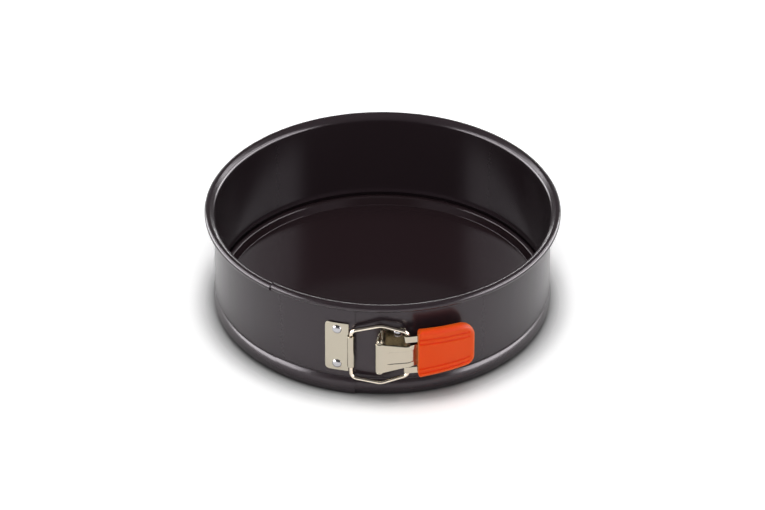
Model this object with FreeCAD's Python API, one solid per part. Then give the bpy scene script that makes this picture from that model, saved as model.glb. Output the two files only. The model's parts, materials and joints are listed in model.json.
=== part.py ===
"""Springform pan with a lever latch, as separate pieces.

The frame: +Z up, the table is z = 0, the pan's axis is the Z axis, and the latch is
at the front, towards -Y.  Azimuths are in degrees from the front, positive towards
+X.  Lengths are in millimetres.

The band is one strip of spring steel on the real pan.  Here it is five rigid lengths
that meet on radial planes, so that it can open on four hinges just outside the rim.
"""
import FreeCAD
import Part
import math
import os

V = FreeCAD.Vector

# ---- pan ----
INSIDE_RADIUS = 100.0       # the wall's inner face
BAND_SHEET = 0.6
BAND_HEIGHT = 67.2
LAP_GAP = 0.3               # between the two lapped ends of the band
LAP_STEP = 0.08             # the left side meets the lap this much further out
SEGMENT_GAP = 0.05          # between two lengths of band

# ---- rolled rim ----
ROLL_RADIUS = 2.3           # outside of the roll
RIM_REACH = 5.8             # the roll's outermost point beyond the wall's outer face
NECK_RADIUS = 5.0           # where the wall flares out to the roll
NECK_ANGLE = 40.0
ROLL_TURN = 250.0

# ---- foot, with the groove that holds the base ----
FOOT_RADIUS = 8.5
FOOT_CENTRE_Z = 6.6
FOOT_ANGLE = 33.0           # from the widest point up to the waist
WAIST_RADIUS = 2.8          # the small bead inside the pan, above the groove
WAIST_ANGLE = 24.0
WAIST_FADE_RADIUS = 6.0     # from the bead back to the straight wall

# ---- band joints ----
FRONT_HINGE = 45.0          # azimuths
BACK_HINGE = 135.0
HINGE_CLEARANCE = 0.2       # hinge lines stand this far outside the rim
INNER_END_AT = -66.9        # the end under the lap, which carries the lever
OUTER_END_AT = -16.0        # the end on top, which carries the keeper
END_GAP = 0.4               # between the two rims where the lap starts

# ---- base plate ----
BASE_SHEET = 0.8
BASE_GAP = 0.3              # from the groove
BASE_FLOOR_TOP = 5.2
BASE_CURL_RADIUS = 2.7      # outside of the rolled edge
BASE_CURL_RISE = 0.8        # the roll's centre over the foot's centre
BASE_CURL_TURN = 215.0
BASE_FLANGE = 0.5
BASE_BEND_RADIUS = 1.0
BASE_STEP_ANGLE = 68.0

# ---- latch; lengths named AT run along the wall from the front, towards +X ----
LATCH_DROP = 4.6            # the latch's middle under the middle of the flat wall
RUNNING_GAP = 0.05          # radial, round the pivot pin
BAIL_PLAY = 0.08            # radial, round the bail in its tube
RIVET_HEAD_RADIUS = 2.8
RIVET_HEAD_HEIGHT = 1.3
RIVET_SHANK_RADIUS = 1.5
RIVET_TAIL_RADIUS = 2.4
RIVET_TAIL_HEIGHT = 0.5

# ---- bail wire ----
WIRE_RADIUS = 1.2
BAIL_KEEPER_CORNERS = (-19.8, 13.2)     # heights from the latch's middle
BAIL_PEAK_CORNERS = (-22.1, 18.8)
BAIL_LEVER_CORNERS = (-15.9, 14.5)
BAIL_PEAK_X = -0.8
BAIL_BOW = 0.9              # the long sides stand out this far at the peak
BAIL_KEEPER_BEND = 4.0
BAIL_PEAK_BEND = 9.0
BAIL_LEVER_BEND = 4.0

# ---- keeper ----
KEEPER_SHEET = 1.0
KEEPER_LEFT_AT = -33.7
KEEPER_TUBE_AT = -17.9      # the tube that holds the bail
KEEPER_HEIGHT = 33.6
KEEPER_RIVET_SPACING = 24.4
KEEPER_CORNER = 2.5
KEEPER_TUBE_ENDS = (-11.9, 9.8)         # heights from the latch's middle
KEEPER_CURL_TURN = 285.0
KEEPER_RIVETS_AT = -26.5

# ---- lever ----
PIN_RADIUS = 1.3
LEVER_SHEET = 1.3
BLADE_STANDOFF = 7.6        # from the wall to the middle of the blade
BLADE_HALF = 13.1
TANG_HALF = 10.5            # the blade's half height well inside the grip
TANG_START_AT = 24.0        # along the blade
BLADE_END_AT = 50.0
LEVER_BEND_RADIUS = 4.0
LEVER_RISE_ANGLE = 22.0
LEVER_RISE_LENGTH = 3.6
LEVER_FALL_ANGLE = 25.0
TONGUE_LENGTH = 15.8
TONGUE_HALF = 10.0
TONGUE_NECK_HALF = 7.3
TONGUE_TAPER_START = 1.0    # from the pin
TONGUE_TAPER_END = 16.0
LEVER_KNUCKLE_TURN = 290.0
RIB_HALF = 4.3
RIB_HEIGHT = 0.5
RIB_FLANK = 0.45            # the rib's sloping sides
RIB_START = 4.0             # from the pin
PRONG_INNER = 8.7           # half height where each prong starts
PRONG_END_AT = 15.3         # the wire's place under the prongs, along the blade
LIP_RADIUS = 0.9
LIP_TURN = 62.0
HOOK_GAP = 0.15             # from the prongs' back to the wire

# ---- grip ----
GRIP_START_AT = 20.8        # along the blade
GRIP_END_AT = 55.5
GRIP_THICKNESS = 6.2
GRIP_OUTSET = 0.5           # its middle stands outside the blade's
GRIP_TOP = 17.2             # over and under the latch's middle where it starts
GRIP_BOTTOM = 15.7
GRIP_TAPERS = (1.2, 4.7)    # how far its top and bottom lean together
GRIP_EDGE_RADIUS = 2.7
GRIP_START_EDGE = 0.9
GRIP_CORNERS = (5.5, 9.5)   # at its end, the lower and the upper
GRIP_START_CORNER = 3.0
GRIP_GROOVE_RADIUS = 0.45
GRIP_GROOVES = (8.8, 11.9)
GRIP_GROOVE_END = 4.5       # the grooves run out this far before the grip's end
GRIP_FIT = 0.05

# ---- bracket ----
BRACKET_SHEET = 0.8
BRACKET_RIGHT_AT = 13.7
BRACKET_RIVETS_AT = 8.95
BRACKET_RIVET_SPACING = 22.2
BRACKET_HALF = 14.6
BRACKET_CORNER = 2.5
BRACKET_BEND_RADIUS = 5.0
BRACKET_WALL_HEADING = 250.0
BRACKET_KNUCKLE_TURN = 250.0
BRACKET_KNUCKLE_HEIGHT = 0.8
BRACKET_EAR_BULGE = 0.6     # how far the ears' edges bow out of a straight slope
KNUCKLE_GAP = 0.3
PIN_END_HEIGHT = 0.35       # the peened ends over the knuckles



def azimuth_at(length, radius):
    """The azimuth of a length along a circle from the front."""
    return math.degrees(length / radius)


# ---- worked out from the sizes above ----
WALL_MIDDLE = INSIDE_RADIUS + BAND_SHEET / 2
WALL_OUTSIDE = INSIDE_RADIUS + BAND_SHEET
LAP_SHIFT = BAND_SHEET + LAP_GAP
LAP_OUTSIDE = WALL_OUTSIDE + LAP_SHIFT
INNER_END = azimuth_at(INNER_END_AT, WALL_OUTSIDE)
OUTER_END = azimuth_at(OUTER_END_AT, WALL_OUTSIDE)
OUTER_END_START = azimuth_at(INNER_END_AT - END_GAP, WALL_OUTSIDE)
KEEPER_LEFT = azimuth_at(KEEPER_LEFT_AT, WALL_OUTSIDE)
KEEPER_TUBE = azimuth_at(KEEPER_TUBE_AT, WALL_OUTSIDE)
KEEPER_RIVETS = azimuth_at(KEEPER_RIVETS_AT, WALL_OUTSIDE)
BRACKET_RIGHT = azimuth_at(BRACKET_RIGHT_AT, WALL_OUTSIDE)
BRACKET_RIVETS = azimuth_at(BRACKET_RIVETS_AT, WALL_OUTSIDE)
BLADE_RADIUS = WALL_OUTSIDE + BLADE_STANDOFF
TANG_START = azimuth_at(TANG_START_AT, BLADE_RADIUS)
BLADE_END = azimuth_at(BLADE_END_AT, BLADE_RADIUS)
PRONG_END = azimuth_at(PRONG_END_AT, BLADE_RADIUS)
GRIP_START = azimuth_at(GRIP_START_AT, BLADE_RADIUS)
GRIP_END = azimuth_at(GRIP_END_AT, BLADE_RADIUS)
KNUCKLE_INSIDE = PIN_RADIUS + RUNNING_GAP
KNUCKLE_MIDDLE = KNUCKLE_INSIDE + LEVER_SHEET / 2
KNUCKLE_OUTSIDE = KNUCKLE_INSIDE + LEVER_SHEET
TUBE_MIDDLE = WIRE_RADIUS + BAIL_PLAY + KEEPER_SHEET / 2
GRIP_MIDDLE = BLADE_RADIUS + GRIP_OUTSET


def sin(degrees):
    return math.sin(math.radians(degrees))


def cos(degrees):
    return math.cos(math.radians(degrees))


class Path:
    """A chain of tangent lines and arcs in a plane, as (point, heading, radius, size).

    A line has radius 0 and its size is a length.  An arc's size is its turn in
    degrees, positive to the left.
    """

    def __init__(self, x, y, heading):
        self.x, self.y, self.heading = x, y, heading
        self.steps = []

    def line(self, length):
        self._add(0.0, length)
        return self

    def arc(self, radius, turn):
        self._add(radius, turn)
        return self

    def _add(self, radius, size):
        self.steps.append((self.x, self.y, self.heading, radius, size))
        self.x, self.y = self.point(len(self.steps) - 1, 1.0, 0.0)
        if radius:
            self.heading += size

    def centre(self, index):
        """Centre of an arc."""
        x, y, heading, radius, turn = self.steps[index]
        side = math.copysign(90.0, turn)
        return x + radius * cos(heading + side), y + radius * sin(heading + side)

    def point(self, index, share, left):
        """The point at a share of a step, shifted to the left of the path."""
        x, y, heading, radius, size = self.steps[index]
        if not radius:
            x += share * size * cos(heading)
            y += share * size * sin(heading)
        else:
            cx, cy = self.centre(index)
            side = math.copysign(90.0, size)
            heading += share * size
            x, y = cx - radius * cos(heading + side), cy - radius * sin(heading + side)
        return x + left * cos(heading + 90), y + left * sin(heading + 90)

    def backwards(self):
        back = Path(self.x, self.y, self.heading + 180)
        for _, _, _, radius, size in reversed(self.steps):
            back._add(radius, -size if radius else size)
        return back

    def edges(self, left, place):
        """The path shifted to the left, as edges whose points go through place."""
        made = []
        for index, step in enumerate(self.steps):
            points = [place(*self.point(index, share, left)) for share in (0, 0.5, 1)]
            if step[3]:
                made.append(Part.Arc(*points).toShape())
            else:
                made.append(Part.makeLine(points[0], points[2]))
        return made


def upright(x, y):
    """A profile point, as radius and height, in the XZ plane."""
    return V(x, 0, y)


def flat(x, y):
    """A plan point on the table."""
    return V(x, y, 0)


def sheet_face(path, left, right, place):
    """The section of a sheet that reaches left and right of a path."""
    one, other = path.edges(left, place), path.edges(-right, place)
    caps = [
        Part.makeLine(one[0].Vertexes[0].Point, other[0].Vertexes[0].Point),
        Part.makeLine(one[-1].Vertexes[-1].Point, other[-1].Vertexes[-1].Point),
    ]
    return Part.Face(Part.Wire(Part.__sortEdges__(one + other + caps)))


def revolved(face, start, end):
    """An XZ section turned about the pan's axis from one azimuth to another."""
    turned = face.copy()
    turned.rotate(V(0, 0, 0), V(0, 0, 1), start - 90)
    return turned.revolve(V(0, 0, 0), V(0, 0, 1), end - start)


def curved_block(inner, outer, low, high, start, end):
    """A block between two radii, two heights and two azimuths."""
    corners = [(inner, low), (outer, low), (outer, high), (inner, high)]
    points = [upright(r, z) for r, z in corners]
    return revolved(Part.Face(Part.makePolygon(points + points[:1])), start, end)


def raised(face, low, high):
    """A plan section extruded between two heights."""
    solid = face.extrude(V(0, 0, high - low))
    solid.translate(V(0, 0, low))
    return solid


def around(radius, azimuth):
    """A plan point at a radius and azimuth."""
    return radius * sin(azimuth), -radius * cos(azimuth)


def box(x, y, z):
    """A block between pairs of limits."""
    return Part.makeBox(x[1] - x[0], y[1] - y[0], z[1] - z[0], V(x[0], y[0], z[0]))


def sector(start, end, reach):
    """A wedge about the pan's axis between two azimuths."""
    corners = [V(0, 0, -1)]
    for azimuth in (start, (start + end) / 2, end):
        corners.append(V(*around(reach, azimuth), -1))
    face = Part.Face(Part.makePolygon(corners + corners[:1]))
    return face.extrude(V(0, 0, BAND_HEIGHT + 2))


def outline(azimuth, low, high, half, corners):
    """A rounded window seen along a radius: a block from the pan's axis outwards.

    low and high are its limits sideways, and corners the radii at low and at high.
    """
    near, far = corners
    path = Path((low + high) / 2, -half, 0).line((high - low) / 2 - far)
    path.arc(far, 90).line(2 * half - 2 * far).arc(far, 90)
    path.line(high - low - near - far)
    path.arc(near, 90).line(2 * half - 2 * near).arc(near, 90)
    path.line((high - low) / 2 - near)
    return seen_along_radius(path, azimuth)


def seen_along_radius(path, azimuth):
    """A closed path about the latch's middle, as a block from the pan's axis outwards."""
    wire = Part.Wire(path.edges(0, lambda x, y: V(x, 0, y + LATCH_Z)))
    block = Part.Face(wire).extrude(V(0, -2 * INSIDE_RADIUS, 0))
    block.rotate(V(0, 0, 0), V(0, 0, 1), azimuth)
    return block


def closing_line(path, place):
    """The line from the end of a path back to its start."""
    return Part.makeLine(place(path.x, path.y), place(*path.point(0, 0, 0)))


# ---- band ----
def wall_limits():
    """Heights where the flat wall starts and ends, and the slope's length above it."""
    low = FOOT_CENTRE_Z + (FOOT_RADIUS + WAIST_RADIUS) * sin(FOOT_ANGLE)
    low += (WAIST_RADIUS + WAIST_FADE_RADIUS) * sin(WAIST_ANGLE)
    roll_middle = ROLL_RADIUS - BAND_SHEET / 2
    rise = BAND_HEIGHT - ROLL_RADIUS + roll_middle * sin(NECK_ANGLE)
    reach = RIM_REACH + BAND_SHEET / 2 - ROLL_RADIUS - roll_middle * cos(NECK_ANGLE)
    slope = (reach - NECK_RADIUS * (1 - cos(NECK_ANGLE))) / sin(NECK_ANGLE)
    return low, rise - NECK_RADIUS * sin(NECK_ANGLE) - slope * cos(NECK_ANGLE), slope


LATCH_Z = sum(wall_limits()[:2]) / 2 - LATCH_DROP


def band_path():
    """The middle of the band's sheet, from under the foot up into the rim's roll."""
    low, high, slope = wall_limits()
    down = Path(WALL_MIDDLE, low, -90)
    down.arc(WAIST_FADE_RADIUS, -WAIST_ANGLE)
    down.arc(WAIST_RADIUS, WAIST_ANGLE + FOOT_ANGLE)
    down.arc(FOOT_RADIUS, -FOOT_ANGLE - 65)

    path = down.backwards().line(high - low)
    path.arc(NECK_RADIUS, -NECK_ANGLE).line(slope)
    return path.arc(ROLL_RADIUS - BAND_SHEET / 2, -ROLL_TURN)


def band_face(shift):
    """The band's section, shifted outwards and cut off level at the table."""
    face = sheet_face(band_path(), BAND_SHEET / 2 - shift, BAND_SHEET / 2 + shift, upright)
    corners = [(0, 0), (2 * INSIDE_RADIUS, 0), (2 * INSIDE_RADIUS, 2 * BAND_HEIGHT), (0, 2 * BAND_HEIGHT)]
    above = Part.Face(Part.makePolygon([upright(x, z) for x, z in corners + corners[:1]]))
    return face.common(above).Faces[0]


def length_of_band(start, end):
    """A length of band whose ends stand off their neighbours."""
    half_gap = math.degrees(SEGMENT_GAP / 2 / INSIDE_RADIUS)
    return revolved(band_face(0), start + half_gap, end - half_gap)


def eccentric_length(start, end, start_gap, end_gap):
    """A length of the left side, which runs off centre out to the lap."""
    offset = (LAP_SHIFT + LAP_STEP) / cos(FRONT_HINGE + OUTER_END_START)
    x, y = around(offset, -FRONT_HINGE)
    ring = revolved(band_face(0), start - 3, end + 3)
    ring.translate(V(x, y, 0))
    per_mm = math.degrees(1 / INSIDE_RADIUS)
    wedge = sector(start + start_gap * per_mm, end - end_gap * per_mm, 4 * INSIDE_RADIUS)
    return ring.common(wedge).Solids[0]


def band_end_left():
    """The outer end of the band: its rim nests inside the roll of the end below."""
    approach = eccentric_length(-FRONT_HINGE, OUTER_END_START, SEGMENT_GAP / 2, 0)
    lapped = revolved(band_face(LAP_SHIFT), OUTER_END_START, OUTER_END)
    return rivet_holes(approach.fuse(lapped), KEEPER_RIVETS, KEEPER_RIVET_SPACING)


def band_end_right():
    half_gap = math.degrees(SEGMENT_GAP / 2 / INSIDE_RADIUS)
    solid = revolved(band_face(0), INNER_END, FRONT_HINGE - half_gap)
    return rivet_holes(solid, BRACKET_RIVETS, BRACKET_RIVET_SPACING)


def base_plate():
    """The loose bottom: a flat floor, a raised edge and a rolled hem in the groove."""
    hem_middle = BASE_CURL_RADIUS - BASE_SHEET / 2
    foot_centre = WALL_MIDDLE - (WAIST_FADE_RADIUS + WAIST_RADIUS) * (1 - cos(WAIST_ANGLE))
    foot_centre += (WAIST_RADIUS + FOOT_RADIUS) * (1 - cos(FOOT_ANGLE)) - FOOT_RADIUS
    reach = FOOT_RADIUS - BAND_SHEET / 2 - BASE_GAP - BASE_CURL_RADIUS
    hem_centre = foot_centre + math.sqrt(reach**2 - BASE_CURL_RISE**2)
    hem_top = FOOT_CENTRE_Z + BASE_CURL_RISE + hem_middle
    rise = hem_top - (BASE_FLOOR_TOP - BASE_SHEET / 2)
    bends = 2 * BASE_BEND_RADIUS
    step = (rise - bends * (1 - cos(BASE_STEP_ANGLE))) / sin(BASE_STEP_ANGLE)
    run = bends * sin(BASE_STEP_ANGLE) + step * cos(BASE_STEP_ANGLE)
    path = Path(0, BASE_FLOOR_TOP - BASE_SHEET / 2, 0).line(hem_centre - BASE_FLANGE - run)
    path.arc(BASE_BEND_RADIUS, BASE_STEP_ANGLE).line(step)
    path.arc(BASE_BEND_RADIUS, -BASE_STEP_ANGLE).line(BASE_FLANGE)
    path.arc(hem_middle, -BASE_CURL_TURN)
    section = sheet_face(path, BASE_SHEET / 2, BASE_SHEET / 2, upright)
    return section.revolve(V(0, 0, 0), V(0, 0, 1), 360)


# ---- rivets ----
def rivet_heights(spacing):
    return LATCH_Z - spacing / 2, LATCH_Z + spacing / 2


def rivet_hole(azimuth, z, radius):
    hole = Part.makeCylinder(radius, 2 * INSIDE_RADIUS, V(0, 0, z), V(0, -1, 0))
    hole.rotate(V(0, 0, 0), V(0, 0, 1), azimuth)
    return hole


def rivet_holes(solid, azimuth, spacing):
    """A sheet with two rivet holes at an azimuth."""
    for z in rivet_heights(spacing):
        solid = solid.cut(rivet_hole(azimuth, z, RIVET_SHANK_RADIUS))
    return solid.Solids[0]


def rivet(azimuth, z, plate_face, inner_face, tail):
    """A domed rivet through plate and band; its tail is a flat button, or set flush."""
    base = plate_face
    dome = (RIVET_HEAD_RADIUS**2 + RIVET_HEAD_HEIGHT**2) / (2 * RIVET_HEAD_HEIGHT)
    angle = math.degrees(math.asin(RIVET_HEAD_RADIUS / dome))
    top = base + RIVET_HEAD_HEIGHT
    start = V(0, top, 0)
    middle = V(dome * sin(angle / 2), top - dome * (1 - cos(angle / 2)), 0)
    edge = V(RIVET_HEAD_RADIUS, base, 0)
    inner = inner_face
    points = [edge, V(RIVET_SHANK_RADIUS, base, 0), V(RIVET_SHANK_RADIUS, inner, 0)]
    if tail:
        points += [V(RIVET_TAIL_RADIUS, inner, 0), V(RIVET_TAIL_RADIUS, inner - tail, 0)]
    points += [V(0, points[-1].y, 0), start]
    wire = Part.Wire([Part.Arc(start, middle, edge).toShape()] + Part.makePolygon(points).Edges)
    solid = Part.Face(wire).revolve(V(0, 0, 0), V(0, 1, 0), 360)
    solid.rotate(V(0, 0, 0), V(0, 0, 1), 180 + azimuth)
    solid.translate(V(0, 0, z))
    return solid


# ---- keeper and bail ----
def keeper_plate():
    """The plate on the outer end, whose edge is curled round the bail."""
    middle = LAP_OUTSIDE + KEEPER_SHEET / 2
    plate = Path(*around(middle, KEEPER_LEFT), KEEPER_LEFT)
    plate.arc(middle, KEEPER_TUBE - KEEPER_LEFT)
    curl = Path(plate.x, plate.y, plate.heading).arc(TUBE_MIDDLE, -KEEPER_CURL_TURN)
    half_sheet = KEEPER_SHEET / 2
    tube_low, tube_high = [LATCH_Z + height for height in KEEPER_TUBE_ENDS]
    tube = raised(sheet_face(curl, half_sheet, half_sheet, flat), tube_low, tube_high)

    half = KEEPER_HEIGHT / 2
    sheet = raised(sheet_face(plate, half_sheet, half_sheet, flat), LATCH_Z - half, LATCH_Z + half)
    mid_azimuth = (KEEPER_LEFT + KEEPER_TUBE) / 2
    reach = middle * sin(KEEPER_TUBE - mid_azimuth)
    window = outline(mid_azimuth, -reach, 3 * reach, half, (KEEPER_CORNER, KEEPER_CORNER))
    sheet = sheet.common(window)
    clear_x = bail_ends()[0][0] - WIRE_RADIUS - LAP_GAP
    for low, high in ((LATCH_Z - half - 1, tube_low), (tube_high, LATCH_Z + half + 1)):
        sheet = sheet.cut(box((clear_x, 0), (-2 * INSIDE_RADIUS, 0), (low, high)))
    return rivet_holes(sheet.fuse(tube), KEEPER_RIVETS, KEEPER_RIVET_SPACING)


def bail_ends():
    """Plan points of the bail's two upright bars: in the keeper, and in the lever."""
    keeper = around(LAP_OUTSIDE + KEEPER_SHEET / 2 + TUBE_MIDDLE, KEEPER_TUBE)
    hook_radius = BLADE_RADIUS - LEVER_SHEET / 2 - HOOK_GAP - WIRE_RADIUS
    lever = around(hook_radius, PRONG_END)
    return keeper, lever


def rounded_wire(points, bends):
    """Lines through points, with an arc of the given radius at each inner point."""
    edges, last = [], points[0]
    for before, corner, after, radius in zip(points, points[1:], points[2:], bends):
        back, on = (before - corner).normalize(), (after - corner).normalize()
        half = (math.pi - math.acos(back.dot(on))) / 2
        tangent = radius * math.tan(half)
        start, end = corner + back * tangent, corner + on * tangent
        bisector = (back + on).normalize()
        middle = corner + bisector * (radius / math.cos(half) - radius)
        edges += [Part.makeLine(last, start), Part.Arc(start, middle, end).toShape()]
        last = end
    return Part.Wire(edges + [Part.makeLine(last, points[-1])])


def bail_wire():
    """A closed loop of round wire, whose long sides are peaked and bowed outwards."""
    (kx, ky), (wx, wy) = bail_ends()
    share = (BAIL_PEAK_X - kx) / (wx - kx)
    peak_y = ky + share * (wy - ky) - BAIL_BOW
    halves = []
    for side in (0, 1):
        points = [
            V(kx, ky, 0),
            V(kx, ky, BAIL_KEEPER_CORNERS[side]),
            V(BAIL_PEAK_X, peak_y, BAIL_PEAK_CORNERS[side]),
            V(wx, wy, BAIL_LEVER_CORNERS[side]),
            V(wx, wy, 0),
        ]
        spine = rounded_wire(points, (BAIL_KEEPER_BEND, BAIL_PEAK_BEND, BAIL_LEVER_BEND))
        section = Part.Wire(Part.makeCircle(WIRE_RADIUS, points[0], V(0, 0, 1)))
        halves.append(spine.makePipeShell([section], True, False))
    loop = halves[0].fuse(halves[1]).removeSplitter()
    loop.translate(V(0, 0, LATCH_Z))
    return loop.Solids[0]


# ---- lever ----
def tongue_path():
    """Plan of the lever's middle strip, from the grip to its curl round the pin."""
    start = GRIP_START - 0.2
    path = Path(*around(BLADE_RADIUS, start), start + 180)
    path.arc(LEVER_BEND_RADIUS, LEVER_RISE_ANGLE).line(LEVER_RISE_LENGTH)
    path.arc(LEVER_BEND_RADIUS, -LEVER_FALL_ANGLE)
    return path.line(TONGUE_LENGTH).arc(KNUCKLE_MIDDLE, -LEVER_KNUCKLE_TURN)


def pin_axis():
    """Plan point of the lever's pivot."""
    path = tongue_path()
    return path.centre(len(path.steps) - 1)


def lever():
    """A pressed plate: blade, raised middle tongue, and two prongs that hook the bail."""
    half_sheet = LEVER_SHEET / 2
    px, _ = pin_axis()
    tongue = raised(
        sheet_face(tongue_path(), half_sheet, half_sheet, flat),
        LATCH_Z - TONGUE_HALF,
        LATCH_Z + TONGUE_HALF,
    )
    taper = [
        (px - 20, TONGUE_HALF),
        (px + TONGUE_TAPER_START, TONGUE_HALF),
        (px + TONGUE_TAPER_END, TONGUE_NECK_HALF),
        (px + 60, TONGUE_NECK_HALF),
    ]
    corners = [V(x, 0, LATCH_Z + z) for x, z in taper]
    corners += [V(x, 0, LATCH_Z - z) for x, z in reversed(taper)]
    side = Part.Face(Part.makePolygon(corners + corners[:1])).extrude(V(0, -3 * INSIDE_RADIUS, 0))
    tongue = tongue.common(side)

    body = tongue.fuse(blade_arc(0))
    for low, high in ((-BLADE_HALF, -PRONG_INNER), (PRONG_INNER, BLADE_HALF)):
        body = body.fuse(raised(prong_face(), LATCH_Z + low, LATCH_Z + high))
    body = body.fuse(tongue_rib(px))
    return body.removeSplitter().Solids[0]


def sheet_arc(start, end, half, fit):
    """A curved plate on the blade's radius, with a fit all round."""
    inner, outer = BLADE_RADIUS - LEVER_SHEET / 2 - fit, BLADE_RADIUS + LEVER_SHEET / 2 + fit
    return curved_block(inner, outer, LATCH_Z - half - fit, LATCH_Z + half + fit, start, end)


def prong_face():
    """Plan of a prong: along the blade's radius, then bent back past the wire."""
    start = GRIP_START - 0.2
    path = Path(*around(BLADE_RADIUS, start), start + 180)
    lip = PRONG_END - math.degrees((WIRE_RADIUS + HOOK_GAP) / BLADE_RADIUS)
    path.arc(BLADE_RADIUS, lip - start).arc(LIP_RADIUS, -LIP_TURN)
    return sheet_face(path, LEVER_SHEET / 2, LEVER_SHEET / 2, flat)


def outer_edges(solid, path, left):
    """A solid's edges along the straight of the tongue, on its outer face."""
    (x1, y1), (x2, y2) = path.point(3, 0, left), path.point(3, 1, left)
    along = V(x2 - x1, y2 - y1, 0).normalize()
    found = []
    for edge in solid.Edges:
        off = [(v.Point - V(x1, y1, v.Point.z)).cross(along).Length for v in edge.Vertexes]
        if len(off) == 2 and max(off) < RIB_HEIGHT / 10:
            found.append(edge)
    return found


def tongue_rib(px):
    """The raised panel along the middle of the tongue."""
    path = tongue_path()
    del path.steps[-1]
    face = sheet_face(path, LEVER_SHEET / 2 + RIB_HEIGHT, 0, flat)
    rib = raised(face, LATCH_Z - RIB_HALF, LATCH_Z + RIB_HALF)
    rib = rib.common(box((px + RIB_START, px + 60), (-2 * INSIDE_RADIUS, 0), (0, BAND_HEIGHT)))
    return rib.makeChamfer(RIB_FLANK, outer_edges(rib, tongue_path(), LEVER_SHEET / 2 + RIB_HEIGHT))


def grip_start_plan(inside, outside):
    """Plan of a strip along the blade, rounded where the grip starts."""
    edge, far = GRIP_START_EDGE, GRIP_END + 5
    past_in = math.degrees(math.asin(edge / (inside + edge)))
    past_out = math.degrees(math.asin(edge / (outside - edge)))
    across = math.sqrt((outside - edge) ** 2 - edge**2) - math.sqrt((inside + edge) ** 2 - edge**2)
    path = Path(*around(inside, far), far + 180).arc(inside, past_in + GRIP_START - far)
    path.arc(edge, 90 - past_in).line(across).arc(edge, 90 + past_out)
    path.arc(outside, far - GRIP_START - past_out)
    return Part.Face(Part.Wire(path.edges(0, flat) + [closing_line(path, flat)]))


def grip_window(corners):
    """The grip's tapering outline seen along a radius; corners are its four radii."""
    mid_azimuth = (GRIP_START + GRIP_END) / 2
    reach = GRIP_MIDDLE * sin(GRIP_END - mid_azimuth)
    top, bottom = GRIP_TAPERS
    low = -GRIP_BOTTOM + 2 * reach * math.tan(math.radians(bottom))
    high = GRIP_TOP - 2 * reach * math.tan(math.radians(top))
    turns = (90 - bottom, 90 - top, 90 + top, 90 + bottom)
    taken = [r * math.tan(math.radians(turn / 2)) for r, turn in zip(corners, turns)]
    sides = [2 * reach / cos(bottom), high - low, 2 * reach / cos(top), GRIP_TOP + GRIP_BOTTOM]
    path = Path(-reach, -GRIP_BOTTOM, bottom)
    path.x, path.y = -reach + taken[3] * cos(bottom), -GRIP_BOTTOM + taken[3] * sin(bottom)
    for index, (radius, turn) in enumerate(zip(corners, turns)):
        path.line(sides[index] - taken[index - 1] - taken[index])
        if radius:
            path.arc(radius, turn)
        else:
            path.heading += turn
    return seen_along_radius(path, mid_azimuth)


def tilted(shape, height, angle):
    """A shape turned about the radius where the grip starts, down towards its end."""
    shape.rotate(V(0, 0, height), V(*around(1, GRIP_START), 0), -angle)
    return shape


def blade_arc(fit):
    """The blade inside the grip: full height at first, then a narrower tang."""
    wide = sheet_arc(GRIP_START - 0.2 - 20 * fit, TANG_START + fit, BLADE_HALF, fit)
    return wide.fuse(sheet_arc(TANG_START - 0.5, BLADE_END + 2 * fit, TANG_HALF, fit))


def lever_grip():
    """The sleeve over the blade, curved like the wall, with grooves along its face."""
    inside, outside = GRIP_MIDDLE - GRIP_THICKNESS / 2, GRIP_MIDDLE + GRIP_THICKNESS / 2
    ring = curved_block(inside, outside, 0, BAND_HEIGHT, GRIP_START - 5, GRIP_END + 5)
    body = ring.common(grip_window((*GRIP_CORNERS, 0, 0))).Solids[0]
    faces = [f for f in body.Faces if f.Surface.TypeId == "Part::GeomCylinder"]
    broad = [f for f in faces if f.Surface.Axis.isParallel(V(0, 0, 1), 1e-6)]
    start = min(body.Faces, key=lambda f: f.CenterOfMass.x)
    edges = [e for f in broad for e in f.Edges if not any(e.isSame(other) for other in start.Edges)]
    body = body.makeFillet(GRIP_EDGE_RADIUS, edges)
    body = body.common(raised(grip_start_plan(inside, outside), 0, BAND_HEIGHT))
    body = body.common(grip_window((*GRIP_CORNERS, GRIP_START_CORNER, GRIP_START_CORNER)))
    groove_end = azimuth_at(GRIP_END_AT - GRIP_GROOVE_END, BLADE_RADIUS)
    for height in GRIP_GROOVES:
        for side, taper in zip((1, -1), GRIP_TAPERS):
            z = LATCH_Z + side * height
            centre = upright(outside + GRIP_GROOVE_RADIUS / 3, z)
            circle = Part.Wire(Part.makeCircle(GRIP_GROOVE_RADIUS, centre, V(0, 1, 0)))
            groove = revolved(Part.Face(circle), GRIP_START - 1, groove_end)
            body = body.cut(tilted(groove, z, side * taper))
    return body.cut(blade_arc(GRIP_FIT)).Solids[0]


# ---- bracket and pin ----
def bracket_path():
    """Plan of the bracket: on the wall, then out to its curl round the pin."""
    px, py = pin_axis()
    middle = WALL_OUTSIDE + BRACKET_SHEET / 2
    curl = KNUCKLE_INSIDE + BRACKET_SHEET / 2
    heading = BRACKET_WALL_HEADING
    tangent_x = px - curl * cos(heading + 90)
    tangent_y = py - curl * sin(heading + 90)
    bend_azimuth = solve_bend(tangent_x, tangent_y, middle, heading)
    path = Path(*around(middle, BRACKET_RIGHT), BRACKET_RIGHT + 180)
    path.arc(middle, bend_azimuth - BRACKET_RIGHT)
    path.arc(BRACKET_BEND_RADIUS, heading - path.heading)
    path.line(math.hypot(tangent_x - path.x, tangent_y - path.y))
    return path.arc(curl, BRACKET_KNUCKLE_TURN)


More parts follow.
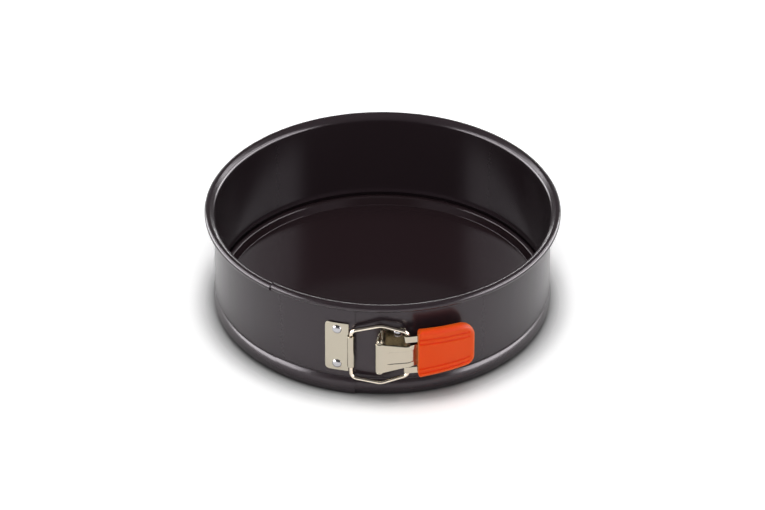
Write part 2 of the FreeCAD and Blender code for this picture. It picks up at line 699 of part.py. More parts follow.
def solve_bend(tangent_x, tangent_y, middle, heading):
    """The azimuth at which the bracket leaves the wall to reach the pin's tangent."""
    low, high = -30.0, BRACKET_RIGHT
    for _ in range(60):
        azimuth = (low + high) / 2
        path = Path(*around(middle, azimuth), azimuth + 180)
        path.arc(BRACKET_BEND_RADIUS, heading - path.heading)
        across = (tangent_y - path.y) * cos(heading) - (tangent_x - path.x) * sin(heading)
        if across > 0:
            low = azimuth
        else:
            high = azimuth
    return azimuth


def lever_bracket():
    """The plate on the inner end, with a standing wall and two knuckles for the pin."""
    half_sheet = BRACKET_SHEET / 2
    px, py = pin_axis()
    face = sheet_face(bracket_path(), half_sheet, half_sheet, flat)
    solid = raised(face, LATCH_Z - BRACKET_HALF, LATCH_Z + BRACKET_HALF)
    mid_azimuth = BRACKET_RIGHT - 5
    reach = (WALL_OUTSIDE + half_sheet) * sin(5)
    window = outline(mid_azimuth, -3 * reach, reach, BRACKET_HALF, (BRACKET_CORNER, BRACKET_CORNER))
    solid = solid.common(window)

    inner, outer = TONGUE_HALF + KNUCKLE_GAP, TONGUE_HALF + KNUCKLE_GAP + BRACKET_KNUCKLE_HEIGHT
    wall_y = -(WALL_OUTSIDE + BRACKET_SHEET)
    front = py - 2 * KNUCKLE_OUTSIDE
    for side in (-1, 1):
        run, drop = wall_y - py, BRACKET_HALF - outer
        bow = BRACKET_EAR_BULGE / math.hypot(run, drop)
        middle = (py + run / 2 - bow * drop, outer + drop / 2 + bow * run)
        slope = [(wall_y, BRACKET_HALF), middle, (py, outer), (front, outer)]
        slope += [(front, 2 * BRACKET_HALF), (wall_y, 2 * BRACKET_HALF)]
        points = [V(-INSIDE_RADIUS, y, LATCH_Z + side * z) for y, z in slope]
        edges = [Part.Arc(*points[:3]).toShape()] + Part.makePolygon(points[2:] + points[:1]).Edges
        trim = Part.Face(Part.Wire(edges)).extrude(V(2 * INSIDE_RADIUS, 0, 0))
        solid = solid.cut(trim)
    room = KNUCKLE_OUTSIDE + KNUCKLE_GAP
    gap = box((px - 2 * room, px + 2 * room), (front, py + room), (LATCH_Z - inner, LATCH_Z + inner))
    return rivet_holes(solid.cut(gap), BRACKET_RIVETS, BRACKET_RIVET_SPACING)


def pivot_pin():
    """A plain pin with peened, rounded ends."""
    px, py = pin_axis()
    half = TONGUE_HALF + KNUCKLE_GAP + BRACKET_KNUCKLE_HEIGHT
    tip = PIN_END_HEIGHT
    path = Path(0, -half - tip, 0).line(PIN_RADIUS - tip).arc(tip, 90)
    path.line(2 * half).arc(tip, 90).line(PIN_RADIUS - tip)
    edges = path.edges(0, upright) + [Part.makeLine(V(0, 0, half + tip), V(0, 0, -half - tip))]
    pin = Part.Face(Part.Wire(edges)).revolve(V(0, 0, 0), V(0, 0, 1), 360)
    pin.translate(V(px, py, LATCH_Z))
    return pin


def rivets():
    """The four rivets, which pass through a plate and the band behind it."""
    made = {}
    keeper_face = LAP_OUTSIDE + KEEPER_SHEET
    bracket_face = WALL_OUTSIDE + BRACKET_SHEET
    for name, z in zip(("lower", "upper"), rivet_heights(KEEPER_RIVET_SPACING)):
        inner_face = LAP_OUTSIDE - BAND_SHEET
        made["keeper_rivet_" + name] = rivet(KEEPER_RIVETS, z, keeper_face, inner_face, 0)
    for name, z in zip(("lower", "upper"), rivet_heights(BRACKET_RIVET_SPACING)):
        tail_face = math.sqrt(INSIDE_RADIUS**2 - RIVET_TAIL_RADIUS**2)
        tail = RIVET_TAIL_HEIGHT
        made["bracket_rivet_" + name] = rivet(BRACKET_RIVETS, z, bracket_face, tail_face, tail)
    return made


def parts():
    """Every piece by name."""
    made = {
        "band_back": length_of_band(BACK_HINGE, 360 - BACK_HINGE),
        "band_side_right": length_of_band(FRONT_HINGE, BACK_HINGE),
        "band_side_left": eccentric_length(-BACK_HINGE, -FRONT_HINGE, SEGMENT_GAP / 2, SEGMENT_GAP / 2),
        "band_end_right": band_end_right(),
        "band_end_left": band_end_left(),
        "base_plate": base_plate(),
        "keeper_plate": keeper_plate(),
        "bail_wire": bail_wire(),
        "lever": lever(),
        "lever_grip": lever_grip(),
        "lever_bracket": lever_bracket(),
        "pivot_pin": pivot_pin(),
    }
    made.update(rivets())
    return made


def main():
    os.makedirs("parts", exist_ok=True)
    for name, shape in parts().items():
        shape.exportStep("parts/" + name + ".step")
        kind = "ok" if shape.isValid() and len(shape.Solids) == 1 else "BAD"
        print(f"{name:22s} {kind} {shape.Volume:10.1f} mm3")
    print("pin axis", [round(c, 3) for c in pin_axis()])
    print("bail ends", [[round(c, 3) for c in end] for end in bail_ends()])


main()
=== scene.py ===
"""Springform pan with a lever latch, built round its fixed frame.

Lengths inside the functions are in millimetres and angles in degrees.  Azimuths are
counted from the front of the pan, where the latch is, positive towards +X.
"""

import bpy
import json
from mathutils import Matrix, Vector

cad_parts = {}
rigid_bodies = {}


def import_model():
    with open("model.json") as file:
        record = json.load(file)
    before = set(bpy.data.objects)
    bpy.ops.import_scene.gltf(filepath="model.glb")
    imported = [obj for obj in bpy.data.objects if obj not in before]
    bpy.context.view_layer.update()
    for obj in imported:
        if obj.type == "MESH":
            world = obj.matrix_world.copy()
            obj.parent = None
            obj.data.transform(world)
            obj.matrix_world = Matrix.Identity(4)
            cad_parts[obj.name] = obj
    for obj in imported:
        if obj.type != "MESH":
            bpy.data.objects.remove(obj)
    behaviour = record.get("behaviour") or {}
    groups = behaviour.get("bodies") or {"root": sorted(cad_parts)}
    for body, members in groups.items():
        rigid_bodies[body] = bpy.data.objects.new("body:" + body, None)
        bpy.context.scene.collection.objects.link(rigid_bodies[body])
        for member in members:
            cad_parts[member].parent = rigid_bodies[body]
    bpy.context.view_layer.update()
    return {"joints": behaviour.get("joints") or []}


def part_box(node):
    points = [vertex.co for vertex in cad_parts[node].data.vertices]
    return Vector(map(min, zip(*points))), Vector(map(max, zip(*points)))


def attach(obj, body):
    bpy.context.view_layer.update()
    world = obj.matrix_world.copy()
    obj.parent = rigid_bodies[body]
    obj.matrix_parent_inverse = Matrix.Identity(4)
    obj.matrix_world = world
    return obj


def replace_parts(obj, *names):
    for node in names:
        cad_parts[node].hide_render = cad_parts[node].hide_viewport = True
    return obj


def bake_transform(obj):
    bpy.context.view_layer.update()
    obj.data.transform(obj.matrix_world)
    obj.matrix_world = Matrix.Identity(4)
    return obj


bl_info = {
    "name": "Springform Pan",
    "version": (1, 0, 0),
    "blender": (4, 5, 0),
    "location": "3D View > Sidebar > Pan",
    "description": "Builds a coated springform pan with its latch, floor, lights and camera",
    "category": "Object",
}

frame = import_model()

import json
import math

import bmesh
import bpy
from bpy.types import Operator, Panel, PropertyGroup
from mathutils import Matrix, Vector

MM = 0.001
JOINTS = {joint["name"]: joint for joint in frame["joints"]}
TREES = {}
MATERIALS = {}

# ---- driving sizes, in millimetres and degrees ----
WELD = 0.001
TURNED_CREASE, PLATE_CREASE = 32.0, 28.0
WALL_INSIDE = 100.0
SHEET = 0.6
LAP_SHIFT = 0.9
LAP_FACE = WALL_INSIDE + SHEET + LAP_SHIFT
ROLL_RADIUS = 2.3
RIM_REACH = 5.8
NECK_RADIUS = 3.2
NECK_ANGLE = 55.0
ROLL_TURN = 247.0
FOOT_RADIUS = 8.5
FOOT_CENTRE_Z = 6.6
FOOT_ANGLE = 33.0
FOOT_UNDER = 65.0
WAIST_RADIUS = 1.4
WAIST_ANGLE = 24.0
WAIST_FADE = 6.0
INNER_END = -38.102
OUTER_END = -9.113
LAP_START = -38.33
FRONT_HINGE = 45.0
BASE_SHEET = 0.8
BASE_FLOOR = 5.2
HEM_RADIUS = 2.7
HEM_RISE = 0.8
HEM_GAP = 0.3
HEM_TURN = 215.0
STEP_ANGLE = 68.0
STEP_BEND = 1.0
FLANGE = 0.5
LATCH_Z = JOINTS["lever_swing"]["pos_m"][2] / MM
PIN_RADIUS = 1.3
PIN_PLAY = 0.05
LEVER_SHEET = 1.3
KEEPER_SHEET = 1.0
BRACKET_SHEET = 0.8
WIRE_RADIUS = 1.2
WIRE_PLAY = 0.08
HOOK_PLAY = 0.15
BLADE_RADIUS = 108.2
PRONG_END = 8.102
GRIP_START = 11.014
GRIP_END = 29.389
GRIP_MIDDLE = 108.7
GRIP_THICKNESS = 6.2


def sin(degrees):
    return math.sin(math.radians(degrees))


def cos(degrees):
    return math.cos(math.radians(degrees))


def around(radius, azimuth):
    """A plan point at a radius and azimuth about the pan's axis."""
    return radius * sin(azimuth), -radius * cos(azimuth)


def joint_place(name):
    """A joint's place in the frame, in millimetres."""
    return [value / MM for value in JOINTS[name]["pos_m"]]


class Route:
    """A chain of tangent lines and arcs in a plane, followed by its length.

    Turns are in degrees, positive to the left.
    """

    def __init__(self, x, y, heading):
        self.x, self.y, self.heading = x, y, heading
        self.steps = []
        self.length = 0.0

    def line(self, length):
        return self._add(0.0, length, length)

    def arc(self, radius, turn):
        return self._add(radius, turn, radius * math.radians(abs(turn)))

    def _add(self, radius, size, length):
        self.steps.append((self.length, self.x, self.y, self.heading, radius, size, length))
        self.x, self.y, self.heading = self._inside(self.steps[-1], length)
        self.length += length
        return self

    @staticmethod
    def _inside(step, travelled):
        _, x, y, heading, radius, size, length = step
        if not radius:
            return x + travelled * cos(heading), y + travelled * sin(heading), heading
        side = math.copysign(90.0, size)
        x, y = x + radius * cos(heading + side), y + radius * sin(heading + side)
        heading += size * travelled / length
        return x - radius * cos(heading + side), y - radius * sin(heading + side), heading

    def place(self, along, left=0.0):
        """The point at a length along the route, shifted to its left."""
        step = self.steps[0]
        for step in self.steps:
            if along <= step[0] + step[6]:
                break
        x, y, heading = self._inside(step, along - step[0])
        return x + left * cos(heading + 90), y + left * sin(heading + 90)

    def stops(self, turn, reach):
        """Lengths along the route, at most a turn apart on arcs and a reach on lines."""
        found = [0.0]
        for start, _, _, _, radius, size, length in self.steps:
            count = max(1, math.ceil(abs(size) / turn if radius else length / reach))
            found += [start + length * (i + 1) / count for i in range(count)]
        return found

    def backwards(self):
        """The same route, from its end to its start."""
        back = Route(self.x, self.y, self.heading + 180)
        for _, _, _, _, radius, size, length in reversed(self.steps):
            back._add(radius, -size if radius else size, length)
        return back


# ---- meshes and geometry node trees ----
def feed(tree, node, links):
    """Gives a node's inputs their values, or links them where the value is a socket."""
    for name, value in links.items():
        if isinstance(value, bpy.types.NodeSocket):
            tree.links.new(value, node.inputs[name])
        else:
            node.inputs[name].default_value = value
    return node


def add_node(tree, kind, links=None, **attributes):
    """A new node, with its inputs fed and its attributes set."""
    made = tree.nodes.new(kind)
    for name, value in attributes.items():
        setattr(made, name, value)
    return feed(tree, made, links or {})


def output(tree, kind, links=None, **attributes):
    """The first output of a new node."""
    return add_node(tree, kind, links, **attributes).outputs[0]


def calculate(tree, operation, *values):
    """The output of a math node."""
    return output(tree, "ShaderNodeMath", dict(enumerate(values)), operation=operation)


def new_tree(name, inputs, kind="GeometryNodeTree", outputs=None):
    """A node tree, what it is given and its result; inputs and outputs are names and types."""
    tree = bpy.data.node_groups.new(name, kind)
    if kind == "GeometryNodeTree":
        inputs, outputs = {"Geometry": "Geometry", **inputs}, {"Geometry": "Geometry"}
    for direction, sockets in (("INPUT", inputs), ("OUTPUT", outputs)):
        for label, socket in sockets.items():
            tree.interface.new_socket(label, in_out=direction, socket_type="NodeSocket" + socket)
    return tree, tree.nodes.new("NodeGroupInput").outputs, tree.nodes.new("NodeGroupOutput").inputs


def end_tree(tree, geometry, given, result):
    """Realizes, sets the material and feeds the tree's output."""
    real = output(tree, "GeometryNodeRealizeInstances", {"Geometry": geometry})
    links = {"Geometry": real, "Material": given["Material"]}
    tree.links.new(output(tree, "GeometryNodeSetMaterial", links), result[0])
    return tree


def polar_place(tree, radius, azimuth, height):
    """The vector at a radius and azimuth about the pan's axis, and its angle in radians."""
    angle = calculate(tree, "RADIANS", azimuth)
    across = calculate(tree, "MULTIPLY", radius, calculate(tree, "SINE", angle))
    ahead = calculate(tree, "MULTIPLY", radius, calculate(tree, "COSINE", angle))
    links = {"X": across, "Y": calculate(tree, "MULTIPLY", ahead, -1.0), "Z": height}
    return output(tree, "ShaderNodeCombineXYZ", links), angle


def turned_sheet_tree():
    """Carries a section round the pan's axis; the section is drawn as (radius, -height)."""
    inputs = {"Start": "Float", "Sweep": "Float", "Steps": "Int", "Fill Ends": "Bool"}
    inputs |= {"Growth": "Float", "Growth Azimuth": "Float", "Material": "Material"}
    tree, given, result = new_tree("Turned Sheet", inputs)
    section = output(tree, "GeometryNodeMeshToCurve", {"Mesh": given["Geometry"]})
    line = output(tree, "GeometryNodeCurvePrimitiveLine", {"End": (1, 0, 0)})
    links = {"Curve": line, "Count": calculate(tree, "ADD", given["Steps"], 1.0)}
    path = output(tree, "GeometryNodeResampleCurve", links)
    links = {"Curve": path, "Profile Curve": section, "Fill Caps": given["Fill Ends"]}
    swept = output(tree, "GeometryNodeCurveToMesh", links)
    position = output(tree, "GeometryNodeInputPosition")
    parts = add_node(tree, "ShaderNodeSeparateXYZ", {0: position}).outputs
    azimuth = calculate(tree, "MULTIPLY_ADD", parts["X"], given["Sweep"], given["Start"])
    from_peak = calculate(tree, "SUBTRACT", azimuth, given["Growth Azimuth"])
    lobe = calculate(tree, "COSINE", calculate(tree, "RADIANS", from_peak))
    grown = calculate(tree, "MULTIPLY", calculate(tree, "MAXIMUM", lobe, 0.0), given["Growth"])
    radius = calculate(tree, "SUBTRACT", grown, parts["Y"])
    place, _ = polar_place(tree, radius, azimuth, parts["Z"])
    wrapped = output(tree, "GeometryNodeSetPosition", {"Geometry": swept, "Position": place})
    links = {"Geometry": wrapped, "Distance": WELD * MM}
    return end_tree(tree, output(tree, "GeometryNodeMergeByDistance", links), given, result)


def bent_wire_tree():
    """Round wire along a path."""
    inputs = {"Radius": "Float", "Sides": "Int", "Material": "Material"}
    tree, given, result = new_tree("Bent Wire", inputs)
    path = output(tree, "GeometryNodeMeshToCurve", {"Mesh": given["Geometry"]})
    links = {"Resolution": given["Sides"], "Radius": given["Radius"]}
    circle = output(tree, "GeometryNodeCurvePrimitiveCircle", links)
    swept = output(tree, "GeometryNodeCurveToMesh", {"Curve": path, "Profile Curve": circle})
    return end_tree(tree, swept, given, result)


def rivet_row_tree():
    """An upright row of rivets on the wall, from one rivet drawn pointing up."""
    inputs = {"Count": "Int", "Spacing": "Float", "Lowest": "Float"}
    inputs |= {"Radius": "Float", "Azimuth": "Float", "Material": "Material"}
    tree, given, result = new_tree("Rivet Row", inputs)
    place, angle = polar_place(tree, given["Radius"], given["Azimuth"], 0.0)
    facing = output(tree, "ShaderNodeCombineXYZ", {"X": math.pi / 2, "Z": angle})
    links = {"Geometry": given["Geometry"], "Translation": place, "Rotation": facing}
    single = output(tree, "GeometryNodeTransform", links)
    low = output(tree, "ShaderNodeCombineXYZ", {"Z": given["Lowest"]})
    pitch = output(tree, "ShaderNodeCombineXYZ", {"Z": given["Spacing"]})
    links = {"Count": given["Count"], "Start Location": low, "Offset": pitch}
    row = output(tree, "GeometryNodeMeshLine", links)
    placed = output(tree, "GeometryNodeInstanceOnPoints", {"Points": row, "Instance": single})
    return end_tree(tree, placed, given, result)


def new_object(name, mesh):
    """An object linked to the scene."""
    made = bpy.data.objects.new(name, mesh)
    bpy.context.scene.collection.objects.link(made)
    return made


def apply_modifier(made, modifier):
    """Keeps a modifier's result as the object's plain mesh."""
    shown = made.evaluated_get(bpy.context.evaluated_depsgraph_get())
    result = bpy.data.meshes.new_from_object(shown)
    made.modifiers.remove(modifier)
    made.data = result
    return made


def run_tree(name, mesh, tree, values):
    """An object whose plain mesh is the tree's result on the given mesh."""
    made = new_object(name, mesh)
    modifier = made.modifiers.new(tree.name, "NODES")
    modifier.node_group = tree
    for item in tree.interface.items_tree:
        if item.in_out == "INPUT" and item.name in values:
            modifier[item.identifier] = values[item.name]
    return apply_modifier(made, modifier)


def section_mesh(name, points):
    """A closed polyline as a mesh, in metres, from flat or spatial points in millimetres."""
    mesh = bpy.data.meshes.new(name)
    edges = [(i, (i + 1) % len(points)) for i in range(len(points))]
    mesh.from_pydata([[value * MM for value in (*point, 0.0)[:3]] for point in points], edges, [])
    return mesh


def smooth(made, angle):
    """Shades smooth, with sharp edges where faces meet at more than the angle."""
    made.data.shade_smooth()
    made.data.set_sharp_from_angle(angle=math.radians(angle))


def tidy_mesh(made, angle):
    """Merges doubles, drops flat faces, turns faces outwards and shades smooth."""
    work = bmesh.new()
    work.from_mesh(made.data)
    bmesh.ops.remove_doubles(work, verts=work.verts, dist=2 * WELD * MM)
    bmesh.ops.dissolve_degenerate(work, edges=work.edges, dist=0.1 * WELD * MM)
    bmesh.ops.recalc_face_normals(work, faces=work.faces)
    work.to_mesh(made.data)
    work.free()
    smooth(made, angle)


def object_from(work, name, material):
    """A smooth object from a bmesh in work."""
    mesh = bpy.data.meshes.new(name)
    work.to_mesh(mesh)
    work.free()
    mesh.materials.append(material)
    made = new_object(name, mesh)
    smooth(made, PLATE_CREASE)
    return made


def turned(name, points, material, step, start=0.0, sweep=360.0, growth=0.0):
    """A section of (radius, height) points carried round the pan's axis, a step at a time."""
    section = section_mesh(name, [(radius, -height) for radius, height in points])
    values = {"Start": start, "Sweep": sweep, "Steps": max(3, math.ceil(abs(sweep) / step))}
    values |= {"Growth": growth * MM, "Growth Azimuth": -FRONT_HINGE}
    values |= {"Fill Ends": sweep < 360.0, "Material": material}
    made = run_tree(name, section, TREES["turned"], values)
    tidy_mesh(made, TURNED_CREASE)
    return made


def sheet_section(route, left, right, turn, reach):
    """The closed section of a sheet that reaches left and right of a route."""
    stops = route.stops(turn, reach)
    one = [route.place(stop, left) for stop in stops]
    other = [route.place(stop, -right) for stop in reversed(stops)]
    return one + other


def rounded_path(corners, turn=15.0):
    """A closed path in a plane or in space, from (*place, radius) corners."""
    places = [Vector(corner[:-1]) for corner in corners]
    points = []
    for i, corner in enumerate(places):
        radius = corners[i][-1]
        if radius <= 0:
            points.append(corners[i][:-1])
            continue
        back = (places[i - 1] - corner).normalized().to_3d()
        on = (places[(i + 1) % len(places)] - corner).normalized().to_3d()
        half = back.angle(on) / 2
        to_centre = (back + on).normalized() * radius / math.sin(half)
        first = back * radius / math.tan(half) - to_centre
        last = on * radius / math.tan(half) - to_centre
        count = max(2, math.ceil(math.degrees(first.angle(last)) / turn))
        for k in range(count + 1):
            spoke = Matrix.Rotation(first.angle(last) * k / count, 3, first.cross(last)) @ first
            points.append(tuple(corner.to_3d() + to_centre + spoke)[: len(corner)])
    return points


def mirrored(corners):
    """Corners below a plate's middle, followed by the same corners above it."""
    return [*corners, *((x, -y, *rest) for x, y, *rest in reversed(corners))]


def inset(outline, depths):
    """A counter-clockwise outline moved inwards by a depth at each point."""
    moved = []
    for i, depth in enumerate(depths):
        here, before = Vector(outline[i]), Vector(outline[i - 1])
        after = Vector(outline[(i + 1) % len(outline)])
        back, on = (here - before).normalized(), (after - here).normalized()
        inwards = Vector((-back.y - on.y, back.x + on.x)).normalized()
        moved.append(here + inwards * depth / max(0.4, inwards.dot(Vector((-on.y, on.x)))))
    return moved


def bent_plate(name, outline, route, thickness, material, edge, lengths, heights=(), shape=None):
    """A plate cut to an outline of (length along the route, height) and bent along it.

    edge is its edges' radius, or a function of the outline's points.  It may bend at the
    given lengths and heights; shape gives a point its height and offset.
    """
    edges = [edge(x, y) if callable(edge) else edge for x, y in outline]
    layers = 9 if max(edges) > thickness / 3 else 4
    work = bmesh.new()
    rings = []
    for side in (-1, 1):
        for k in range(layers + 1):
            angle = 90.0 * (k if side < 0 else layers - k) / layers
            places = inset(outline, [e * (1 - sin(angle)) for e in edges])
            outs = [side * (thickness / 2 - e * (1 - cos(angle))) for e in edges]
            rings.append([work.verts.new((*place, out)) for place, out in zip(places, outs)])
    for low, high in zip(rings, rings[1:]):
        for i in range(len(low)):
            work.faces.new((low[i - 1], low[i], high[i], high[i - 1]))
    work.faces.new(list(reversed(rings[0])))
    work.faces.new(rings[-1])
    for places, normal in ((lengths, (1, 0, 0)), (heights, (0, 1, 0))):
        for place in places:
            whole = work.verts[:] + work.edges[:] + work.faces[:]
            cut = {"plane_co": [place * part for part in normal], "plane_no": normal}
            bmesh.ops.bisect_plane(work, geom=whole, dist=1e-4, **cut)
    for vert in work.verts:
        along, height, out = vert.co
        if shape:
            height, out = shape(along, height, out)
        x, y = route.place(along, out)
        vert.co = (x * MM, y * MM, (LATCH_Z + height) * MM)
    bmesh.ops.remove_doubles(work, verts=work.verts, dist=2 * WELD * MM)
    bmesh.ops.triangulate(work, faces=[f for f in work.faces if len(f.verts) > 4])
    bmesh.ops.recalc_face_normals(work, faces=work.faces)
    return object_from(work, name, material)


def weigh_normals(made):
    """Lets the broad faces of a piece set the shading of its edges."""
    modifier = made.modifiers.new("Weighted Normal", "WEIGHTED_NORMAL")
    modifier.keep_sharp = True
    return apply_modifier(made, modifier)


def joined(name, pieces):
    """Several objects as one."""
    work = bmesh.new()
    for piece in pieces:
        work.from_mesh(piece.data)
    material = pieces[0].data.materials[0]
    for piece in pieces:
        bpy.data.objects.remove(piece)
    return object_from(work, name, material)


def spread(low, high, step):
    """Evenly spaced places from low to high."""
    count = max(1, round((high - low) / step))
    return [low + (high - low) * i / count for i in range(count + 1)]


def ease(value, low, high):
    """0 below low, 1 above high, smooth between."""
    share = max(0.0, min(1.0, (value - low) / (high - low)))
    return share * share * (3 - 2 * share)


# ---- materials ----
SPECK_SCALE = 620.0
RARITY_SCALE = 160.0
MARK_ROUGHNESS = 0.06


def object_place(tree):
    """The place of the shaded point, in its object's coordinates."""
    return add_node(tree, "ShaderNodeTexCoord").outputs["Object"]


def remap(tree, value, low, high, first=0.0, last=1.0, **attributes):
    """A value from low to high, brought to the range from first to last."""
    links = dict(enumerate((value, low, high, first, last)))
    return output(tree, "ShaderNodeMapRange", links, **attributes)


def grain_group():
    """Fine grain, a value that varies about 0.5."""
    inputs = {"Scale": "Float", "Stretch": "Vector"}
    tree, given, result = new_tree("Fine Grain", inputs, "ShaderNodeTree", {"Value": "Float"})
    links = {0: object_place(tree), 1: given["Stretch"]}
    stretched = output(tree, "ShaderNodeVectorMath", links, operation="MULTIPLY")
    links = {"Vector": stretched, "Scale": given["Scale"], "Detail": 3.0}
    tree.links.new(output(tree, "ShaderNodeTexNoise", links), result["Value"])
    return tree


def handling_group():
    """Soft smudges and a few fine specks, as a mask from 0 to 1."""
    inputs = {"Scale": "Float", "Amount": "Float", "Specks": "Float"}
    tree, given, result = new_tree("Handling Marks", inputs, "ShaderNodeTree", {"Mask": "Float"})
    place = object_place(tree)
    links = {"Vector": place, "Scale": given["Scale"], "Detail": 4.0, "Distortion": 0.6}
    cloud = output(tree, "ShaderNodeTexNoise", links)
    soft = remap(tree, cloud, 0.42, 0.72, interpolation_type="SMOOTHSTEP")
    dots = output(tree, "ShaderNodeTexVoronoi", {"Vector": place, "Scale": SPECK_SCALE})
    chosen = output(tree, "ShaderNodeTexNoise", {"Vector": place, "Scale": RARITY_SCALE})
    near, rare = remap(tree, dots, 0.16, 0.05), remap(tree, chosen, 0.6, 0.7)
    specks = calculate(tree, "MULTIPLY", near, rare)
    smudge = calculate(tree, "MULTIPLY", soft, given["Amount"])
    both = calculate(tree, "MULTIPLY_ADD", specks, given["Specks"], smudge)
    tree.links.new(calculate(tree, "MINIMUM", both, 1.0), result["Mask"])
    return tree


def shared_group(tree, name, values):
    """The output of a shared group whose inputs take the values in order."""
    node = add_node(tree, "ShaderNodeGroup", node_tree=TREES[name])
    for socket, value in zip(node.inputs, values):
        socket.default_value = value
    return node.outputs[0]


def mix_colour(tree, share, first, second):
    """The output of a colour mix."""
    links = {0: share, 6: first, 7: second}
    return add_node(tree, "ShaderNodeMix", links, data_type="RGBA").outputs[2]


# For each finish: the grain's scale and upright stretch; the lighter and darker shades; the
# roughness and its spread; the bump's strength and its depth in millimetres; the scale,
# amount and specks of the marks.
LOOKS = {
    "coating": ((900.0, 1), (1.08, 0.93), (0.24, 0.01), (0.02, 0.01), (18.0, 0.1, 0.06)),
    "base_coating": ((800.0, 1), (1.08, 0.93), (0.14, 0.01), (0.02, 0.01), (18.0, 0.12, 0.08)),
    "plated_steel": ((420.0, 9), (1.04, 0.95), (0.16, 0.03), (0.04, 0.01), (60.0, 0.25, 0.1)),
    "wire": ((900.0, 1), (1.03, 0.95), (0.14, 0.03), (0.05, 0.01), (90.0, 0.2, 0.1)),
    "rivet": ((900.0, 1), (1.04, 0.92), (0.16, 0.04), (0.06, 0.01), (200.0, 0.3, 0.1)),
    "silicone": ((1400.0, 1), (1.04, 0.96), (0.5, 0.03), (0.06, 0.02), (18.0, 0.08, 0.1)),
}
# The painted glow of a finish: a brighter tint mixed into the colour where its surface turns away,
# a painted highlight for light through the edges, and how far the tint reaches.
PAINTED_EDGE_GLOWS = {"silicone": ((1.0, 0.12, 0.003, 1.0), 0.6)}
COATED = {"IOR": 1.5, "Specular Tint": (1.0, 0.94, 0.99, 1.0)}
SHADERS = {
    "coating": COATED,
    "base_coating": COATED,
    "plated_steel": {"Metallic": 1.0},
    # The wire's near-black specular tint darkens its reflections towards its edges: painted shade
    # where the wire turns away.
    "wire": {"Metallic": 1.0, "Specular Tint": (0.03, 0.02, 0.015, 1.0)},
    "rivet": {"Metallic": 1.0},
    "silicone": {
        "Subsurface Weight": 0.3,
        "Subsurface Scale": 0.0015,
        "Subsurface Radius": (1.0, 0.25, 0.05),
        "Specular IOR Level": 0.25,
        "Sheen Weight": 0.8,
        "Sheen Roughness": 0.4,
        "Sheen Tint": (1.0, 0.3, 0.04, 1.0),
        "IOR": 1.42,
    },
}


def finish_material(name, colour):
    """A material from a colour and its finish."""
    (scale, stretch), shades, (rough, spread), (strength, depth), marks = LOOKS[name]
    made = bpy.data.materials.new(name)
    made.use_nodes = True
    tree = made.node_tree
    grain = shared_group(tree, "grain", (scale, (1, 1, stretch)))
    mask = shared_group(tree, "marks", marks)
    light, dark = [[min(1.0, part * by) for part in colour] + [1.0] for by in shades]
    paint = mix_colour(tree, mask, mix_colour(tree, grain, dark, light), light)
    # Painted highlight: the colour turns to the brighter tint where the surface turns away from the
    # eye.
    if name in PAINTED_EDGE_GLOWS:
        tint, reach = PAINTED_EDGE_GLOWS[name]
        painted_glow = add_node(tree, "ShaderNodeLayerWeight", {"Blend": reach}).outputs["Facing"]
        paint = mix_colour(tree, painted_glow, paint, tint)
    rough = remap(tree, grain, 0.3, 0.7, rough - spread, rough + spread)
    worn = calculate(tree, "MULTIPLY_ADD", mask, MARK_ROUGHNESS, rough)
    links = {"Height": grain, "Strength": strength, "Distance": depth * MM}
    bump = output(tree, "ShaderNodeBump", links)
    links = {"Base Color": paint, "Roughness": worn, "Normal": bump, **SHADERS[name]}
    feed(tree, tree.nodes["Principled BSDF"], links)
    MATERIALS[name] = made


def linear(*screen):
    """The shader's linear colour for red, green and blue values from 0 to 255 on screen."""
    shares = [value / 255 for value in screen]
    return [s / 12.92 if s <= 0.04045 else ((s + 0.055) / 1.055) ** 2.4 for s in shares]


# ---- properties ----
def colour_property(name, description, default):
    """A property for a linear colour."""
    kind = {"subtype": "COLOR", "size": 3, "min": 0, "max": 1}
    return bpy.props.FloatVectorProperty(
        name=name, description=description, default=default, **kind
    )


def length_property(name, description, default):
    """A property for a length in metres."""
    kind = {"unit": "LENGTH", "subtype": "DISTANCE", "min": 0}
    return bpy.props.FloatProperty(name=name, description=description, default=default, **kind)


class PanSizes(PropertyGroup):
    height: length_property("Band height", "Height over the table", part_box("band_back")[1].z)
    floor_height: length_property("Floor height", "Top of the base over the table", BASE_FLOOR * MM)
    azimuth_step: bpy.props.FloatProperty(
        name="Facet angle", description="Degrees between the band's facets", default=0.5, min=0.1
    )


class LatchSizes(PropertyGroup):
    wire_diameter: length_property("Wire", "Diameter of the bail's wire", 2 * WIRE_RADIUS * MM)
    rivet_head: length_property("Rivet head", "Diameter of a rivet's head", 5.6 * MM)
    grip_edge: length_property("Grip edge", "Radius of the grip's long edges", 2.7 * MM)


class PanFinishes(PropertyGroup):
    coating: colour_property("Coating", "The band's dark coating", linear(43, 34, 38))
    base_coating: colour_property("Base coating", "The base plate's coating", linear(40, 29, 32))
    plated_steel: colour_property("Plated steel", "The latch's plates", linear(183, 175, 159))
    wire: colour_property("Wire", "Bail and pin", linear(232, 220, 204))
    rivet: colour_property("Rivet", "Rivet heads", linear(186, 184, 188))
    silicone: colour_property("Grip", "The soft grip", linear(238, 68, 12))


